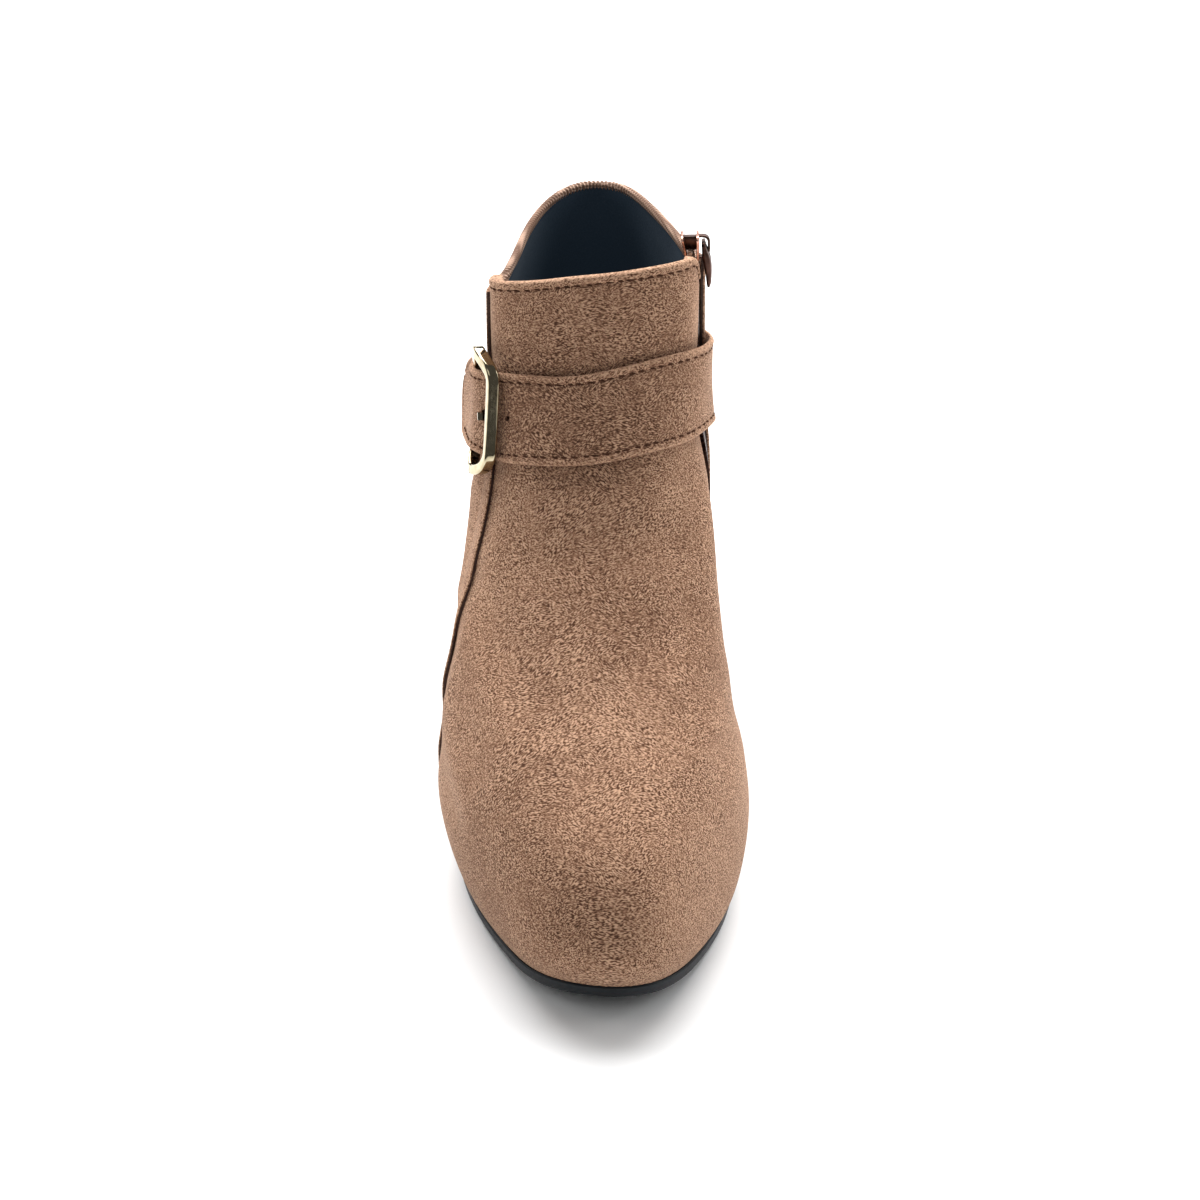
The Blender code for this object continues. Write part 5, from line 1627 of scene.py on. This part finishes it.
def layered(name, layers, finish, node, slot, margin=None, bottom=None, crown=0.0):
    """Plate from stacked outlines, with a top and a bottom grid of points across the foot.

    A layer is how far its outline stands out past the margin, and its height over the sole's underside.
    """
    half = np.linspace(0, math.pi, SOLE_STEPS + 1)
    ring = np.concatenate([half, 2 * math.pi - half[-2:0:-1]])
    around = len(ring)
    rings = []
    for grow, height in layers:
        flat = outline(ring, grow + 0 * ring if margin is None else margin(ring) + grow)
        rings.append(np.column_stack([flat, sole_under(flat[:, 1]) + height]))
    points = [p for r in rings for p in r]
    faces = [list(f) for f in grid_quads(len(layers), around, 0, True)]
    for layer in (0, len(layers) - 1):
        rows = []
        for k in range(SOLE_STEPS + 1):
            left, right = layer * around + k, layer * around + (around - k) % around
            if left == right:
                rows.append([left] * (SOLE_ACROSS + 1))
                continue
            share = np.linspace(0, 1, SOLE_ACROSS + 1)[1:-1, None]
            between = points[left] * (1 - share) + points[right] * share
            between[:, 2] = sole_under(between[:, 1]) + layers[layer][1]
            inside = np.minimum(share, 1 - share)[:, 0] * np.linalg.norm(points[right] - points[left])
            if layer == 0 and bottom:
                between[:, 2] += bottom(between, inside)
            if layer and crown:
                between[:, 2] -= crown * smooth(inside / CROWN_RUN)
            row = [left, *range(len(points), len(points) + len(between)), right]
            points.extend(between)
            rows.append(row)
        for near, far in zip(rows[:-1], rows[1:]):
            for step in range(SOLE_ACROSS):
                corners = (near[step], near[step + 1], far[step + 1], far[step])
                faces.append(list(dict.fromkeys(corners)))
    return new_piece(name, points, faces, finish, [node], slot)


# %% Sole and sock
SOLE_BEVEL = 0.0011
TOP_SOFT = 0.0004
TREAD_PITCH = 0.0056
TREAD_DEPTH = 0.0006
TREAD_CLEAR = 0.005
TREAD_CLEAR_RUN = 0.002
TREAD_BACK = 0.01
TREAD_BACK_RUN = 0.004
INSOLE_LOW = SOLE_EDGE + 0.0003
INSOLE_THICK = 0.0030
SOCK_GAP = 0.0008
SOCK_SOFT = 0.0008
SOCK_CROWN = 0.0006


def tread(points, inside):
    """Grooves across the forefoot, kept clear of the edge and of the flat that the boot stands on."""
    wave = smooth(np.sin(2 * math.pi * points[:, 1] / TREAD_PITCH) * 2.5 - 0.8)
    from_edge = smooth((inside - TREAD_CLEAR) / TREAD_CLEAR_RUN)
    from_arch = smooth((TREAD_BACK - points[:, 1]) / TREAD_BACK_RUN)
    return TREAD_DEPTH * wave * from_edge * from_arch


SOLE_LAYERS = (
    (-SOLE_BEVEL, 0), (-0.3 * SOLE_BEVEL, 0.35 * SOLE_BEVEL), (0, SOLE_BEVEL),
    (0, SOLE_EDGE - TOP_SOFT), (-TOP_SOFT, SOLE_EDGE),
)
layered("sole", SOLE_LAYERS, SOLE_BLACK, "outsole", "sole_rubber", margin=sole_margin, bottom=tread)
SOCK_IN = -QUARTER_WALL - SOCK_GAP
SOCK_LAYERS = (
    (SOCK_IN, INSOLE_LOW), (SOCK_IN, INSOLE_LOW + INSOLE_THICK - SOCK_SOFT),
    (SOCK_IN - SOCK_SOFT, INSOLE_LOW + INSOLE_THICK),
)
layered("sock", SOCK_LAYERS, SOCK, "insole", "sock_lining", crown=SOCK_CROWN)

# %% Block heel
HEEL_BREAST = 0.275
HEEL_TAPER = 0.86
HEEL_INSET = 0.0006
HEEL_BACK_RAKE = 0.004
TOP_PIECE = 0.006
HEEL_AROUND = 121
BREAST_STEPS = 36
BREAST_HOLLOW = 0.0025
HEEL_LEVELS = 40
SEAT = 0.0003


def heel_ring(drop, height=None, inset=0.0):
    """Outline of the heel at a share of its depth: the seat's curve and a slightly hollow breast."""
    seam_station = RINGS[0, RING_COLUMNS.index("lat_seam")]
    start = seam_angle(np.array(0.0), "lat_seam", y_of(HEEL_BREAST) - y_of(seam_station))
    angle = np.linspace(start, 2 * math.pi - start, HEEL_AROUND)
    curve = outline(angle, sole_margin(angle) - SOLE_BEVEL - HEEL_INSET - inset)
    across = np.linspace(0, 1, BREAST_STEPS + 1)[1:-1, None]
    hollow = np.column_stack([0 * across[:, 0], BREAST_HOLLOW * np.sin(math.pi * across[:, 0])])
    breast = curve[-1] * (1 - across) + curve[0] * across + hollow
    ring = np.concatenate([curve, breast])
    centre = np.array((0.0, (y_of(HEEL_BREAST) + y_of(0)) / 2))
    low = centre + (ring - centre) * (1 - (1 - HEEL_TAPER) * drop) - np.array((0, HEEL_BACK_RAKE * drop))
    top = sole_under(ring[:, 1]) - SEAT
    z = top * (1 - drop) + (TOP_PIECE + SEAT) * drop if height is None else np.full(len(ring), height)
    return np.column_stack([low, z])


rings = [heel_ring(drop) for drop in np.linspace(0, 1, HEEL_LEVELS)]
lofted("heel", rings, HEEL_BLACK, ["heel_block"], "heel_cover")
# height, inset
TIP_LAYERS = ((0.0, 0.0004), (0.0004, 0.0), (TOP_PIECE - 0.0003, 0.0), (TOP_PIECE, 0.0003))
rings = [heel_ring(1.0, height, inset) for height, inset in TIP_LAYERS]
lofted("heel_tip", rings, SOLE_BLACK, ["heel_top_piece"], "sole_rubber")

# %% [markdown]
# ## Studio
# A shop photograph of a boot is often lit by one large soft box high up behind it, with white all round.
# The vamp then is bright, the instep and the strap lie in half shade, and a soft shadow falls in front of
# the toe. A weak box in front opens that shadow and the dark inside. The camera stands in front, well
# above the toe, and looks down through a long lens.

# %% Floor and lights
FLOOR_HALF = 4.0
WORLD_LIGHT = 0.11
floor_mesh = bpy.data.meshes.new("studio_floor")
corners = [(x * FLOOR_HALF, y * FLOOR_HALF, 0) for x, y in ((-1, -1), (1, -1), (1, 1), (-1, 1))]
floor_mesh.from_pydata(corners, [], [(0, 1, 2, 3)])
floor = new_object("studio_floor", floor_mesh)
FLOOR = Finish("pale_floor", Roughness=0.9)
speck = FLOOR.noise(FLOOR.place(), 3.0)
FLOOR.set({"Base Color": FLOOR.ramp(speck, [(0.0, (0.90, 0.90, 0.90)), (1.0, (0.93, 0.93, 0.93))])})
floor_mesh.materials.append(FLOOR.material)

world = bpy.data.worlds.new("studio_white")
bpy.context.scene.world = world
world.use_nodes = True
background = world.node_tree.nodes["Background"].inputs
background["Color"].default_value = (1.0, 1.0, 1.0, 1)
background["Strength"].default_value = WORLD_LIGHT


def look_at(obj, place, aim):
    obj.location = place
    obj.rotation_euler = (Vector(aim) - Vector(place)).to_track_quat("-Z", "Y").to_euler()


def soft_box(name, place, aim, size, power):
    light = bpy.data.lights.new(name, "AREA")
    light.shape = "RECTANGLE"
    light.size, light.size_y = size
    light.energy = power
    look_at(new_object(name, light), place, aim)


soft_box("high_box", (0.0, 1.60, 1.90), (0.0, -0.05, 0.05), (3.4, 2.4), 215.0)
soft_box("front_box", (0.0, -1.30, 2.00), (0.0, -0.05, 0.08), (1.6, 1.0), 5.0)
soft_box("left_strip", (-0.95, 0.10, 0.55), (0.0, 0.0, 0.08), (0.5, 0.9), 3.0)
soft_box("right_strip", (0.95, 0.10, 0.55), (0.0, 0.0, 0.08), (0.5, 0.9), 4.4)
bpy.context.scene.view_settings.view_transform = "Standard"
print("lights:", len(bpy.data.lights))

# %% Camera
CAMERA_AT = (0.0015, -0.5349, 0.4316)
CAMERA_AIM = (0.0015, -0.027, 0.076)
FOCAL_PIXELS = 2150
FRAME_PIXELS = 1200
SENSOR = 36.0
lens = bpy.data.cameras.new("photo_camera")
lens.sensor_width = SENSOR
lens.lens = SENSOR * FOCAL_PIXELS / FRAME_PIXELS
camera = new_object("photo_camera", lens)
look_at(camera, Vector(CAMERA_AT) + Vector(SHIFT), Vector(CAMERA_AIM) + Vector(SHIFT))
bpy.context.scene.camera = camera
print("camera lens:", round(lens.lens, 1), "mm")
